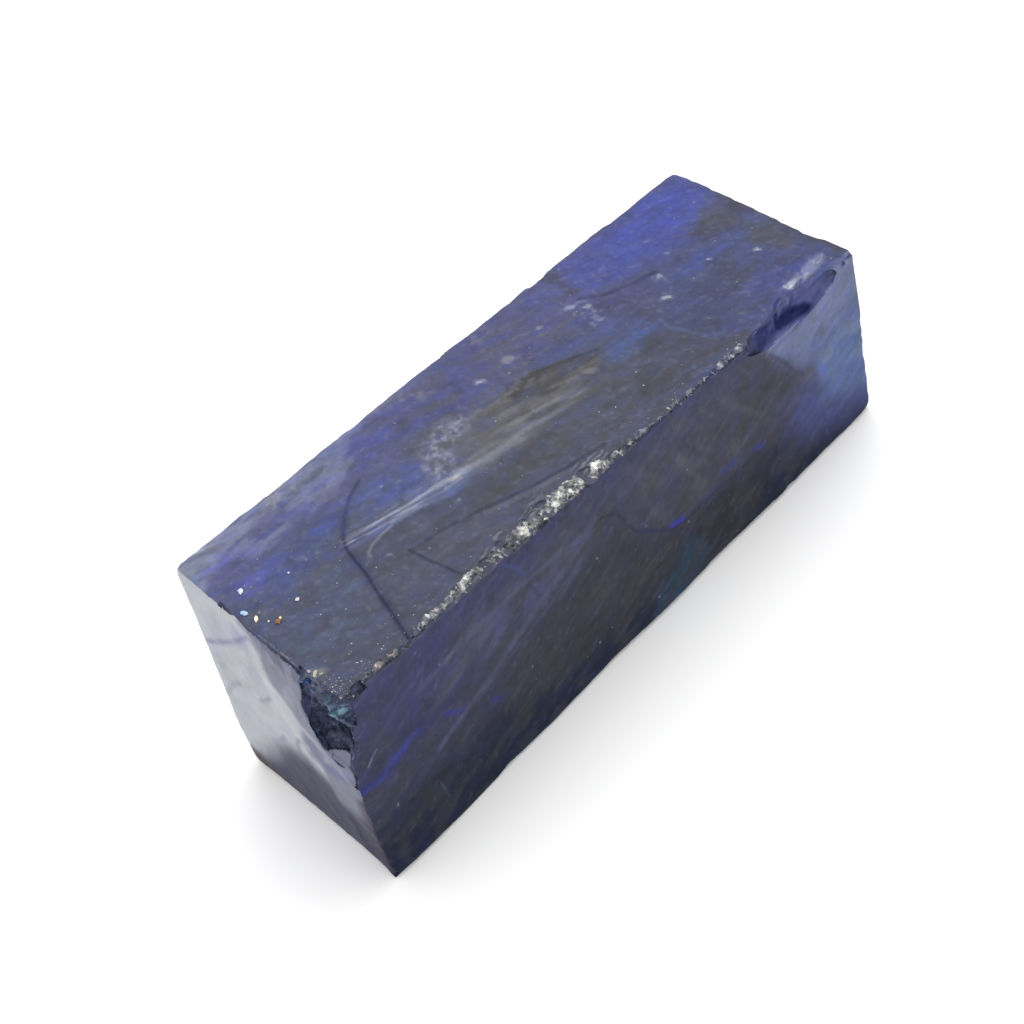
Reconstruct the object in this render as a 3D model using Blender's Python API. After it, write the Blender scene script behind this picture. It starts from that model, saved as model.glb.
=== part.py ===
"""A block of rough blue sapphire, sawn on six sides, lying on one long side.

+X runs along the block from its near end to its far end, +Y from its front to its
back, and +Z up. The origin is at the middle of the base. Sizes here are in
millimetres, and each mesh is turned into metres once, as its vertices are made.

The block is a grid of vertices between eight corners, with the relief that the saw
and wear left. Each chip is a rough ball, and one Boolean takes all of them away.
"""

import math
from collections import namedtuple

import bmesh
import bpy
from mathutils import Matrix, Vector, noise

MM = 0.001
NODE_NAME = "rough_sapphire"

# Driving dimensions: the true block that the saw aimed at.
LENGTH = 50.0
WIDTH = 16.1
HEIGHT = 16.7

# How far each sawn corner stands off that true block, along X, Y and Z.
CORNER_OFFSETS = {
    ("near", "front", "base"): (-0.65, -0.20, 0.0),
    ("near", "back", "base"): (-0.10, -1.25, 0.0),
    ("far", "front", "base"): (0.75, -0.05, 0.0),
    ("far", "back", "base"): (0.70, -0.70, 0.0),
    ("near", "front", "top"): (-0.35, -0.05, 0.1),
    ("near", "back", "top"): (0.75, 0.35, 1.25),
    ("far", "front", "top"): (-0.25, -0.25, -1.2),
    ("far", "back", "top"): (0.30, 0.05, 0.0),
}
POSITIVE_SIDES = ("far", "back", "top")

# The grid that the faces are divided by: rows at these distances from each arris,
# and even cells between the last of them.
ARRIS_ROWS = (0.0, 0.35, 0.9, 1.8)
CELL = 2.1

# Relief of the sawn faces: the height and the length of its waves.
SAW_WAVE = 0.16
SAW_WAVE_LENGTH = 7.0
SAW_RIPPLE = 0.07
SAW_RIPPLE_LENGTH = 2.2
# How deep the arrises and corners are rubbed down, how much that varies, and over
# what distance.
ARRIS_WEAR = 0.16
CORNER_WEAR = 0.25
WEAR_VARIATION = 0.8
WEAR_LENGTH = 1.7

# The near end is no true plane: its front part swells out from a slanting ridge, and
# the swell dies away towards the top.
RIDGE_TOP_Y = 1.2
RIDGE_BASE_Y = -3.5
RIDGE_SWELL = 0.11
SWELL_FADE_TOP = 17.2
SWELL_FADE_DEPTH = 4.2
# The far end has a low step: the stone under it stands out further.
FAR_STEP_HEIGHT = 6.4
FAR_STEP_TILT = 0.12
FAR_STEP_WANDER = 0.5
FAR_STEP_WANDER_LENGTH = 3.0
FAR_STEP_DEPTH = 0.45
FAR_STEP_SLOPE = 0.9
# The front leans in along the middle of its top.
FRONT_LEAN = 0.4

# Flakes off the battered arris between the top and the front. They are wider on the
# top between the two crushed stations.
FLAKES_START = -23.6
FLAKES_END = 12.2
FLAKE_SPACING = 0.95
CRUSHED_START = -14.8
CRUSHED_END = 0.6
# A flake's size is the first number, give or take the second one times its luck. The
# overlap is a flake's length over the spacing, and the crushed reach is what the widest
# flake between the crushed stations adds to its reach over the top.
FLAKE_REACH_TOP = (0.42, 0.25)
FLAKE_REACH_FRONT = (0.27, 0.15)
FLAKE_HOLLOW = (0.13, 0.05)
FLAKE_OVERLAP = (1.55, 0.35)
CRUSHED_REACH = (1.15, 0.57)
# Under 1, the crushed flakes widen quickly from each end to a long wide middle.
CRUSHED_FULLNESS = 0.7
# The two lucks of a flake are read from noise: how quickly they change along the
# arris, where the first one is read, and how far off the second one is.
LUCK_CHANGE = 0.9
FIRST_LUCK = 7.3
SECOND_LUCK = 11.0

# A ball scar is what an ellipsoid of these radii around its centre takes away.
BallScar = namedtuple("BallScar", "centre radii roughness detail")
BALL_SCARS = {
    "near_corner_chip": BallScar((-26.6, -5.8, 13.6), (2.6, 2.4, 3.5), 0.20, 4),
    "near_corner_lip": BallScar((-26.1, -5.2, 15.9), (1.4, 1.4, 1.8), 0.20, 4),
    "near_corner_spall": BallScar((-25.9, -8.6, 15.8), (1.3, 1.1, 2.2), 0.20, 3),
    "near_edge_scar": BallScar((-27.7, -7.1, 11.0), (2.0, 2.3, 2.0), 0.10, 3),
    "far_corner_spall": BallScar((25.7, -9.3, 16.8), (1.9, 1.9, 1.9), 0.15, 2),
    "far_back_edge_nick": BallScar((26.1, 8.7, 10.2), (1.3, 1.2, 2.6), 0.30, 3),
    "far_front_edge_nick": BallScar((25.9, -8.8, 7.4), (1.1, 0.9, 1.5), 0.25, 2),
    "near_back_base_chip": BallScar((-26.5, 8.0, -0.5), (2.2, 2.2, 2.2), 0.20, 3),
    "far_back_base_chip": BallScar((26.9, 8.9, -0.6), (2.4, 2.6, 2.0), 0.25, 3),
}

# An arris scar crosses a long arris at x. It reaches in from the arris by
# reach_level on the top or base and by reach_side on the front or back, and its
# floor lies hollow under the straight line between those two edges.
ArrisScar = namedtuple("ArrisScar", "x length reach_level reach_side hollow detail")
FRONT_TOP_SCARS = {
    "far_hollow": ArrisScar(18.2, 9.2, 1.05, 1.95, 0.45, 4),
    "far_shallow": ArrisScar(21.2, 4.2, 0.80, 0.72, 0.20, 4),
    "far_pocket": ArrisScar(17.9, 3.8, 0.70, 1.70, 0.85, 4),
    "far_nick": ArrisScar(13.9, 2.8, 0.55, 0.80, 0.35, 3),
}
BACK_TOP_SCARS = {
    "back_top_nick_1": ArrisScar(-17.5, 1.6, 0.35, 0.40, 0.10, 2),
    "back_top_nick_2": ArrisScar(-8.2, 1.1, 0.35, 0.40, 0.10, 2),
    "back_top_nick_3": ArrisScar(-0.6, 1.5, 0.35, 0.55, 0.12, 2),
    "back_top_nick_4": ArrisScar(9.6, 1.8, 0.40, 0.60, 0.12, 2),
    "back_top_nick_5": ArrisScar(17.8, 1.2, 0.35, 0.40, 0.10, 2),
}
FRONT_BASE_SCARS = {
    "front_base_nick_1": ArrisScar(-15.0, 1.4, 0.35, 0.45, 0.10, 2),
    "front_base_nick_2": ArrisScar(-2.2, 2.6, 0.35, 0.45, 0.10, 2),
    "front_base_nick_3": ArrisScar(6.5, 1.7, 0.35, 0.45, 0.10, 2),
    "front_base_nick_4": ArrisScar(15.5, 1.3, 0.35, 0.45, 0.10, 2),
}
BACK_BASE_SCARS = {
    "back_base_scar": ArrisScar(7.5, 8.5, 0.80, 1.70, 0.28, 3),
    "back_base_nick": ArrisScar(-11.0, 2.2, 0.45, 0.60, 0.15, 2),
}
ARRIS_SCAR_ROUGHNESS = 0.35

# How many swells the ball of a chip has over its radius, and how much they change
# from one ball to the next with each millimetre between them.
BALL_SWELLS = 1.6
BALL_CHANGE = 0.37

# Points of the cut surface that are closer together than this become one.
SLIVER = 0.01
# The seed of every uneven surface here.
NOISE_SEED = 41

# Dull, dark blue rough.
STONE_COLOUR = (0.085, 0.095, 0.19, 1.0)
STONE_ROUGHNESS = 0.45


def corner_points():
    """The eight corners of the block as it was sawn, by the signs of their sides."""
    points = {}
    for sides, offset in CORNER_OFFSETS.items():
        sx, sy, sz = [1 if side in POSITIVE_SIDES else -1 for side in sides]
        true_corner = Vector((sx * LENGTH / 2, sy * WIDTH / 2, (sz + 1) * HEIGHT / 2))
        points[sx, sy, sz] = true_corner + Vector(offset)
    return points


def stations(size):
    """Places from 0 to 1 along one side: the rows by the two arrises, and even cells."""
    rows = list(ARRIS_ROWS)
    inner = size - 2 * rows[-1]
    count = round(inner / CELL)
    middle = [rows[-1] + inner * i / count for i in range(1, count)]
    places = rows + middle + [size - row for row in reversed(rows)]
    return [place / size for place in places]


def between_corners(corners, u, v, w):
    """The point at shares u, v and w of the way along X, Y and Z."""
    point = Vector((0.0, 0.0, 0.0))
    for (sx, sy, sz), corner in corners.items():
        share_x = u if sx > 0 else 1 - u
        share_y = v if sy > 0 else 1 - v
        share_z = w if sz > 0 else 1 - w
        point += corner * (share_x * share_y * share_z)
    return point


def saw_relief(point):
    """The uneven line that the saw left, as a move of one point of the surface."""
    wave = noise.noise_vector(point / SAW_WAVE_LENGTH) * SAW_WAVE
    ripple = noise.noise_vector(point / SAW_RIPPLE_LENGTH) * SAW_RIPPLE
    return wave + ripple


def arris_wear(point, u, v, w):
    """A move towards the middle of the block for a point on an arris or a corner."""
    signs = [-1 if share == 0 else 1 if share == 1 else 0 for share in (u, v, w)]
    faces_met = sum(abs(sign) for sign in signs)
    if faces_met < 2:
        return Vector((0.0, 0.0, 0.0))
    depth = ARRIS_WEAR if faces_met == 2 else CORNER_WEAR
    depth *= 1.0 + WEAR_VARIATION * noise.noise(point / WEAR_LENGTH)
    return Vector(signs) * -depth


def near_end_swell(point):
    """How far the near end swells out, in front of the ridge that slants across it."""
    ridge_y = RIDGE_BASE_Y + (RIDGE_TOP_Y - RIDGE_BASE_Y) * point.z / HEIGHT
    fade = min(max((SWELL_FADE_TOP - point.z) / SWELL_FADE_DEPTH, 0.0), 1.0)
    return RIDGE_SWELL * fade * max(0.0, ridge_y - point.y)


def far_end_setback(point):
    """How far the far end is set back, above the low step across it."""
    wander = FAR_STEP_WANDER * noise.noise(point / FAR_STEP_WANDER_LENGTH)
    edge = FAR_STEP_HEIGHT + FAR_STEP_TILT * point.y + wander
    rise = (point.z - edge) / FAR_STEP_SLOPE + 0.5
    return FAR_STEP_DEPTH * min(max(rise, 0.0), 1.0)


def surface_point(corners, u, v, w):
    """A point of the sawn surface with its relief. The base stays flat."""
    point = between_corners(corners, u, v, w)
    moved = point + saw_relief(point) + arris_wear(point, u, v, w)
    if u == 0:
        moved.x -= near_end_swell(point)
    if u == 1:
        moved.x -= far_end_setback(point)
    if v == 0:
        moved.y += FRONT_LEAN * math.sin(math.pi * u) * w ** 3
    if w == 0:
        moved.z = 0.0 if 0 < u < 1 and 0 < v < 1 else abs(moved.z)
    return moved


def sawn_block():
    """The block's mesh: one grid on each of its six sides, sharing their edges."""
    corners = corner_points()
    places = [stations(size) for size in (LENGTH, WIDTH, HEIGHT)]
    last = [len(row) - 1 for row in places]
    mesh = bmesh.new()
    verts = {}

    def vert(index):
        if index not in verts:
            shares = [row[i] for row, i in zip(places, index)]
            verts[index] = mesh.verts.new(surface_point(corners, *shares) * MM)
        return verts[index]

    def side_grid(fixed_axis, level):
        first, second = [axis for axis in range(3) if axis != fixed_axis]
        for a in range(last[first]):
            for b in range(last[second]):
                ring = []
                for step_a, step_b in ((0, 0), (1, 0), (1, 1), (0, 1)):
                    index = [level, level, level]
                    index[first] = a + step_a
                    index[second] = b + step_b
                    ring.append(vert(tuple(index)))
                mesh.faces.new(ring)

    for axis in range(3):
        side_grid(axis, 0)
        side_grid(axis, last[axis])
    bmesh.ops.recalc_face_normals(mesh, faces=mesh.faces)
    return mesh


def rough_ball(centre, radii, turn, roughness, detail):
    """A rough ellipsoid: the shape that one chip takes away."""
    mesh = bmesh.new()
    bmesh.ops.create_icosphere(mesh, subdivisions=detail, radius=1.0)
    for vert in mesh.verts:
        swell = 1.0 + roughness * noise.noise(vert.co * BALL_SWELLS + centre * BALL_CHANGE)
        local = Vector(part * radius for part, radius in zip(vert.co, radii))
        vert.co = (centre + turn @ (local * swell)) * MM
    return mesh


def ball_scar(scar):
    """The cutter of a ball scar."""
    no_turn = Matrix.Identity(3)
    return rough_ball(Vector(scar.centre), scar.radii, no_turn, scar.roughness, scar.detail)


def arris_scar(scar, side, level):
    """The cutter of an arris scar, on the front (-1) or back (1) and top (1) or base (-1)."""
    corners = corner_points()
    near = corners[-1, side, level]
    far = corners[1, side, level]
    arris = near.lerp(far, (scar.x - near.x) / (far.x - near.x))
    level_edge = arris - Vector((0.0, side * scar.reach_level, 0.0))
    side_edge = arris - Vector((0.0, 0.0, level * scar.reach_side))
    outward = Vector((0.0, side * scar.reach_side, level * scar.reach_level)).normalized()
    along = Vector((1.0, 0.0, 0.0))
    turn = Matrix((along, outward.cross(along), outward)).transposed()
    # The ball's middle is as far outside the chord as its floor is inside it, so the
    # chord crosses the ball at half its radius, and the ball is wider by this stretch.
    stretch = 1.0 / math.sqrt(0.75)
    half_chord = (side_edge - level_edge).length / 2
    radii = (scar.length / 2 * stretch, half_chord * stretch, 2.0 * scar.hollow)
    centre = (level_edge + side_edge) / 2 + outward * scar.hollow
    return rough_ball(centre, radii, turn, ARRIS_SCAR_ROUGHNESS, scar.detail)


def with_luck(size, luck):
    """A size that luck, from -1 to 1, makes larger or smaller."""
    typical, change = size
    return typical + change * luck


def front_flake(x):
    """The flake of the battered front arris at x. Its sizes vary along the arris."""
    place = Vector((x * LUCK_CHANGE, FIRST_LUCK, 0.0))
    luck = noise.noise(place)
    other_luck = noise.noise(place + Vector((0.0, SECOND_LUCK, 0.0)))
    reach_top = with_luck(FLAKE_REACH_TOP, luck)
    if CRUSHED_START < x < CRUSHED_END:
        share = (x - CRUSHED_START) / (CRUSHED_END - CRUSHED_START)
        widening = math.sin(math.pi * share) ** CRUSHED_FULLNESS
        reach_top += with_luck(CRUSHED_REACH, other_luck) * widening
    return ArrisScar(
        x,
        length=FLAKE_SPACING * with_luck(FLAKE_OVERLAP, luck),
        reach_level=reach_top,
        reach_side=with_luck(FLAKE_REACH_FRONT, other_luck),
        hollow=with_luck(FLAKE_HOLLOW, other_luck),
        detail=2,
    )


def joined(meshes):
    """One mesh that holds all of these."""
    whole = bmesh.new()
    for mesh in meshes:
        part = bpy.data.meshes.new("part")
        mesh.to_mesh(part)
        mesh.free()
        whole.from_mesh(part)
        bpy.data.meshes.remove(part)
    return whole


def front_flakes(first):
    """Every second flake of the battered arris, so that none in the mesh overlap."""
    count = int((FLAKES_END - FLAKES_START) / FLAKE_SPACING)
    places = [FLAKES_START + i * FLAKE_SPACING for i in range(first, count, 2)]
    return joined([arris_scar(front_flake(x), -1, 1) for x in places])


def new_object(name, mesh, collection):
    """An object in this collection that holds a bmesh."""
    data = bpy.data.meshes.new(name)
    mesh.to_mesh(data)
    mesh.free()
    thing = bpy.data.objects.new(name, data)
    collection.objects.link(thing)
    return thing


def new_cutter(name, mesh, cutters):
    """A wire guide in the collection of cutters."""
    cutter = new_object(name, mesh, cutters)
    cutter.hide_render = True
    cutter.display_type = "WIRE"


def make_cutters(cutters):
    """The cutters of every chip, flake and nick."""
    new_cutter("front_flakes_even", front_flakes(0), cutters)
    new_cutter("front_flakes_odd", front_flakes(1), cutters)
    for name, scar in BALL_SCARS.items():
        new_cutter(name, ball_scar(scar), cutters)
    arrises = (
        (FRONT_TOP_SCARS, -1, 1),
        (BACK_TOP_SCARS, 1, 1),
        (FRONT_BASE_SCARS, -1, -1),
        (BACK_BASE_SCARS, 1, -1),
    )
    for scars, side, level in arrises:
        for name, scar in scars.items():
            new_cutter(name, arris_scar(scar, side, level), cutters)


def cut_chips(stone, cutters):
    """Takes every cutter away from the stone at once, and welds the slivers left."""
    chips = stone.modifiers.new("chips", "BOOLEAN")
    chips.operation = "DIFFERENCE"
    chips.solver = "EXACT"
    chips.operand_type = "COLLECTION"
    chips.collection = cutters
    slivers = stone.modifiers.new("slivers", "WELD")
    slivers.merge_threshold = SLIVER * MM


def stone_material():
    """The material of the whole stone."""
    material = bpy.data.materials.new("sapphire_rough")
    material.use_nodes = True
    shader = material.node_tree.nodes["Principled BSDF"]
    shader.inputs["Base Color"].default_value = STONE_COLOUR
    shader.inputs["Roughness"].default_value = STONE_ROUGHNESS
    shader.inputs["Metallic"].default_value = 0.0
    return material


def clear_scene():
    """Takes away whatever the scene holds."""
    for thing in list(bpy.data.objects):
        bpy.data.objects.remove(thing, do_unlink=True)


def build():
    """Makes the stone and cuts its chips."""
    clear_scene()
    noise.seed_set(NOISE_SEED)
    scene = bpy.context.scene.collection
    cutters = bpy.data.collections.new("chip_cutters")
    scene.children.link(cutters)
    make_cutters(cutters)
    stone = new_object(NODE_NAME, sawn_block(), scene)
    stone.data.materials.append(stone_material())
    cut_chips(stone, cutters)


build()
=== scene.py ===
"""Looks of the rough sapphire: a finer mesh over the CAD stone, its paint, its loose
grains, the floor, the light and the camera.

Lengths are in millimetres in the row frame until a mesh is stored in metres. The X axis
runs from the near end to the far end, and the Y axis from the front to the back.
"""

import math
import random
from collections import namedtuple

import bmesh
import bpy
import numpy as np
from mathutils import Matrix, Vector, noise
from mathutils.bvhtree import BVHTree
from mathutils.kdtree import KDTree


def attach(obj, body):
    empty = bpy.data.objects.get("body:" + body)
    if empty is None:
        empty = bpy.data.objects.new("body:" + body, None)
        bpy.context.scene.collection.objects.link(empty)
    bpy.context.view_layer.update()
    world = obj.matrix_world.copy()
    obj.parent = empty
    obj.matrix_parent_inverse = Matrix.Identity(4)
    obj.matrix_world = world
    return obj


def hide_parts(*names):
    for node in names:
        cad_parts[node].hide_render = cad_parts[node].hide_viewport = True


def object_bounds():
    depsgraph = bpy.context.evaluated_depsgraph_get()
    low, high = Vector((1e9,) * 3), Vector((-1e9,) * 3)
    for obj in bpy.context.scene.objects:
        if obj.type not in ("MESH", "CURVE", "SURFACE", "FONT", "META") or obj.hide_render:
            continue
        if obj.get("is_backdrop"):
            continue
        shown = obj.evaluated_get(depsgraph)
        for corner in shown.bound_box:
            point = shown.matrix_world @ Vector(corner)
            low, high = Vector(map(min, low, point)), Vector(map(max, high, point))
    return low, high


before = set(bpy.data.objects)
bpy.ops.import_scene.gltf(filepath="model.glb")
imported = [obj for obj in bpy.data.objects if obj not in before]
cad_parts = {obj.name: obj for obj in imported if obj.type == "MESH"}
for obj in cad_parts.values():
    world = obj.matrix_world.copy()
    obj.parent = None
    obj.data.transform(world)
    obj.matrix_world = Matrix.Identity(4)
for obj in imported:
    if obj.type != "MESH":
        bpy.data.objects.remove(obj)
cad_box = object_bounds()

MM = 0.001
STONE = "rough_sapphire"
SEED = 20

# --- The stone's regions ---------------------------------------------------------------

TOP, FRONT, NEAR, FAR, BACK, BASE, CORNER, HOLLOW, FLAKES = range(9)
SAWN = (TOP, FRONT, NEAR, FAR, BACK, BASE)
# Which way each sawn face is turned, in the order of the regions.
SAWN_NORMALS = np.array(
    ((0, 0, 1), (0, -1, 0), (-1, 0, 0), (1, 0, 0), (0, 1, 0), (0, 0, -1)), float
)

# How far in from the arris the flakes reach on the top, as (x, y) along the stone.
FLAKE_REACH = (
    (-25.2, -7.5), (-24.0, -7.62), (-22.6, -7.55), (-21.5, -7.4), (-20.4, -7.7), (-19.6, -7.85),
    (-18.8, -7.5), (-17.4, -7.2), (-16.4, -7.5), (-15.6, -7.3), (-14.8, -7.1), (-13.6, -6.95),
    (-12.5, -7.2), (-11.0, -7.1), (-10.0, -6.9), (-8.8, -6.6), (-7.9, -7.0), (-6.4, -6.8),
    (-5.4, -6.55), (-4.0, -6.65), (-3.2, -6.9), (-2.4, -7.2), (-1.6, -6.85), (-0.9, -7.35),
    (0.4, -7.55), (1.6, -7.75), (2.4, -7.4), (3.4, -7.75), (5.0, -7.6), (7.0, -7.7), (9.0, -7.85),
    (10.4, -7.6), (12.6, -7.5), (13.2, -9.0),
)
# How far in the rippled break beyond the flakes reaches.
RIPPLE_REACH = (
    (-15.5, -7.6), (-14.5, -7.2), (-12.5, -6.8), (-10.5, -6.2), (-9.5, -5.9), (-7.0, -6.0),
    (-5.5, -5.7), (-3.5, -5.9), (-1.0, -6.5), (0.5, -6.8), (1.5, -7.6),
)
# The sawn faces by the two chipped corners: the near end (its place at the top, its lean
# towards the base, its slant along Y at the top and what is added to that further down),
# the front, and the top as (height, slope along X, slope along Y).
END_TOP = 16.5
END_X = -24.80
END_LEAN = 0.02
END_SLANT = 0.09
END_SLANT_MORE = 0.07
END_SLANT_FADE = 2.5
FRONT_Y = -8.13
NEAR_TOP = (17.42, 0.0, 0.07)
FAR_TOP = (16.57, -0.015, 0.08)
# The lower border of the near corner chip, as (y, z).
CHIP_BORDER = (
    (-8.4, 9.0), (-7.9, 9.7), (-7.5, 10.4), (-7.0, 10.95), (-6.6, 11.05), (-6.0, 11.0),
    (-5.0, 10.55), (-4.6, 10.6), (-4.0, 11.2), (-3.4, 12.4),
)
# The boxes that hold the near corner chip, the facet under it and the far hollow, as the
# lowest and the highest X, Y and Z.
CHIP_BOX = ((-30.0, -30.0, 8.8), (-23.3, -3.9, 30.0))
FACET_BOX = ((-30.0, -30.0, 8.5), (-25.0, -4.0, 30.0))
HOLLOW_BOX = ((12.8, -30.0, 13.0), (24.0, -6.4, 30.0))
# Stone is broken where it lies this deep under the sawn face, or less deep and turned
# away from it, as (depth, shallow depth, greatest share that it faces the sawn way).
NEAR_BREAK = (0.14, 0.04, 0.93)
FAR_BREAK = (0.12, 0.04, 0.95)
# All that is in front of this on the near end belongs to the chip, above its border.
CHIP_FRONT_Y = -4.9
# How much a triangle under the chip has to face the near end to be part of its facet.
FACET_FACING = 0.25
# How far down the front the flakes reach.
FLAKE_DROP = 0.30
# Where the front top arris is looked for, how far apart and over what width, and the
# height that is taken where none is found.
ARRIS_Y, ARRIS_Z = -6.9, 14.0
ARRIS_END, ARRIS_STEP, ARRIS_WIDTH = 26.0, 1.0, 0.7
ARRIS_MISSING = 15.0

# --- The fine mesh ---------------------------------------------------------------------

# Lines narrower than the first get a finer mesh, as far to each side as the second.
FINE_LINE = 0.25
BESIDE_LINE = 0.3
# Points above the first lie on the top, and points in front of the second on the front.
TOP_FROM_Z = 15.0
FRONT_FROM_Y = -7.0
# The longest edge after the first cuts, and at last where nothing finer is asked for.
FIRST_EDGE = 0.9
COMMON_EDGE = 0.29
# Triangles that face a sawn way this much are smoothed, and vertices are on an arris
# where the mean of the normals around them is shorter than this.
FLAT_FACING = 0.975
ARRIS_MEAN = 0.985
# Nothing lower than this is moved, so that the stone keeps its flat base.
BASE_RELIEF_Z = 0.3
BASE_WEAR_Z = 0.05


def mix(a, b, share):
    """Between a and b. The share may be an array, with one value for each row."""
    share = np.asarray(share, float)
    if np.ndim(a) > np.ndim(share) or np.ndim(b) > np.ndim(share):
        share = share[..., None]
    return a * (1.0 - share) + b * share


def smooth_step(low, high, value):
    """0 under low, 1 over high, and a smooth rise between them."""
    t = np.clip((np.asarray(value, float) - low) / (high - low), 0.0, 1.0)
    return t * t * (3.0 - 2.0 * t)


def rows(path):
    """A path of points as an array."""
    return np.array(path, float)


def in_box(points, box):
    """Whether each point lies in a box."""
    low, high = rows(box)
    return ((points > low) & (points < high)).all(axis=1)


def near_thin_lines(points):
    """Whether each point is close to a thin line that is painted on the top or the front."""
    close = np.zeros(len(points), bool)
    for lines, columns, shown in (
        (TOP_LINES, (0, 1), points[:, 2] > TOP_FROM_Z),
        (FRONT_LINES, (0, 2), points[:, 1] < FRONT_FROM_Y),
    ):
        places = points[shown][:, columns]
        best = np.full(len(places), np.inf)
        for line in lines.values():
            if line.width < FINE_LINE:
                best = np.minimum(best, distance_to_path(places, rows(line.path)))
        close[np.nonzero(shown)[0][best < BESIDE_LINE]] = True
    return close


def edge_limit(points):
    """The longest edge that the visual mesh may have at each point."""
    x, y, z = points.T
    cases = (
        # The base, which lies on the floor.
        (z < 0.4, 1.6),
        # The crushed arris, and the ripples beside its middle.
        ((y < -6.3) & (z > 15.2) & (x < 13.5), 0.15),
        ((y < -5.4) & (z > 15.2) & (np.abs(x + 7.0) < 8.0), 0.16),
        (near_thin_lines(points), 0.15),
        # The near corner chip and the far hollow.
        ((x < -22.6) & (y < -2.4) & (z > 8.6), 0.17),
        ((x > 12.4) & (y < -6.0) & (z > 12.2), 0.18),
        # The back and the far end, and then the front and the near end.
        ((y > 7.0) & (z < 15.8), 0.8),
        ((x > 24.0) & (y > -7.0), 0.7),
        ((y < -7.0) | (x < -24.2), 0.38),
    )
    return np.select([where for where, _ in cases], [limit for _, limit in cases], COMMON_EDGE)


def edges_of(tris, count):
    """Every edge once, and which edge each side of each triangle is."""
    sides = np.sort(tris[:, ((0, 1), (1, 2), (2, 0))], axis=2).astype(np.int64)
    keys, which = np.unique(sides[..., 0] * count + sides[..., 1], return_inverse=True)
    return np.stack([keys // count, keys % count], axis=1), which.reshape(-1, 3)


def divided(points, tris, limit):
    """The mesh after every edge that is longer than its limit is cut in two."""
    edges, which = edges_of(tris, len(points))
    ends = points[edges]
    middles = ends.mean(axis=1)
    long_ones = np.linalg.norm(ends[:, 0] - ends[:, 1], axis=1) > limit(middles)
    numbers = np.full(len(edges), -1)
    numbers[long_ones] = len(points) + np.arange(long_ones.sum())
    points = np.vstack([points, middles[long_ones]])
    cuts = numbers[which]
    is_cut = cuts >= 0
    count = is_cut.sum(axis=1)
    shift = np.where(count == 1, is_cut.argmax(axis=1), (is_cut.argmin(axis=1) + 1) % 3)
    order = (shift[:, None] + np.arange(3)) % 3
    a, b, c = np.take_along_axis(tris, order, axis=1).T
    ab, bc, ca = np.take_along_axis(cuts, order, axis=1).T
    from_a = np.linalg.norm(points[a] - points[bc], axis=1)
    from_c = np.linalg.norm(points[ab] - points[c], axis=1)
    shorter = from_a < from_c
    two = count == 2
    pieces = (
        (count == 0, (a, b, c)),
        (count == 1, (a, ab, c)), (count == 1, (ab, b, c)),
        (two, (ab, b, bc)),
        (two & shorter, (a, ab, bc)), (two & shorter, (a, bc, c)),
        (two & ~shorter, (a, ab, c)), (two & ~shorter, (ab, bc, c)),
        (count == 3, (a, ab, ca)), (count == 3, (ab, b, bc)),
        (count == 3, (ca, bc, c)), (count == 3, (ab, bc, ca)),
    )
    return points, np.vstack([np.stack(corners, axis=1)[where] for where, corners in pieces])


def face_normals_of(points, tris):
    """The outward normal of each triangle."""
    a, b, c = points[tris].transpose(1, 0, 2)
    normals = np.cross(b - a, c - a)
    return normals / np.maximum(np.linalg.norm(normals, axis=1), 1e-12)[:, None]


def sum_at_corners(points, tris):
    """The sum of the normals of the triangles around each vertex."""
    face_normals = face_normals_of(points, tris)
    total = np.zeros_like(points)
    for corner in range(3):
        np.add.at(total, tris[:, corner], face_normals)
    return total


def vertex_normals_of(points, tris):
    """The outward normal at each vertex."""
    normals = sum_at_corners(points, tris)
    return normals / np.maximum(np.linalg.norm(normals, axis=1), 1e-9)[:, None]


def smoothed(points, edges, free, rounds, strength):
    """The points, with the free ones moved towards the middle of their neighbours."""
    points = points.copy()
    one, other = edges.T
    degree = np.bincount(edges.ravel(), minlength=len(points))[:, None]
    for _ in range(rounds):
        total = np.zeros_like(points)
        for axis in range(3):
            total[:, axis] += np.bincount(one, points[other, axis], len(points))
            total[:, axis] += np.bincount(other, points[one, axis], len(points))
        points[free] += ((total / degree - points) * strength)[free]
    return points


def relaxed(points, tris, rounds, strength):
    """The points, smoothed on the sawn faces. Their edges and the chips stay as they are."""
    dots = face_normals_of(points, tris) @ SAWN_NORMALS.T
    region = np.where(dots.max(axis=1) > FLAT_FACING, dots.argmax(axis=1), -1)
    lowest = np.full(len(points), len(SAWN))
    highest = np.full(len(points), -1)
    for corner in range(3):
        np.minimum.at(lowest, tris[:, corner], region)
        np.maximum.at(highest, tris[:, corner], region)
    free = (lowest == highest) & (lowest >= 0)
    edges, _ = edges_of(tris, len(points))
    return smoothed(points, edges, free, rounds, strength)


def worn_arrises(points, tris, rounds, strength):
    """The points, with the arrises and corners rounded off. The chips stay as they are."""
    count = np.bincount(tris.ravel(), minlength=len(points))
    mean = np.linalg.norm(sum_at_corners(points, tris), axis=1) / count
    edges, _ = edges_of(tris, len(points))
    x, y, z = points.T
    chips = (y < -5.5) & (z > 9.5) & ((z > 15.3) | (x < -22.5) | (x > 12.0))
    free = (mean < ARRIS_MEAN) & ~chips
    touched = free[edges].any(axis=1)
    free[edges[touched].ravel()] = True
    free &= ~chips & (z > BASE_WEAR_Z)
    return smoothed(points, edges, free, rounds, strength)


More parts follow.
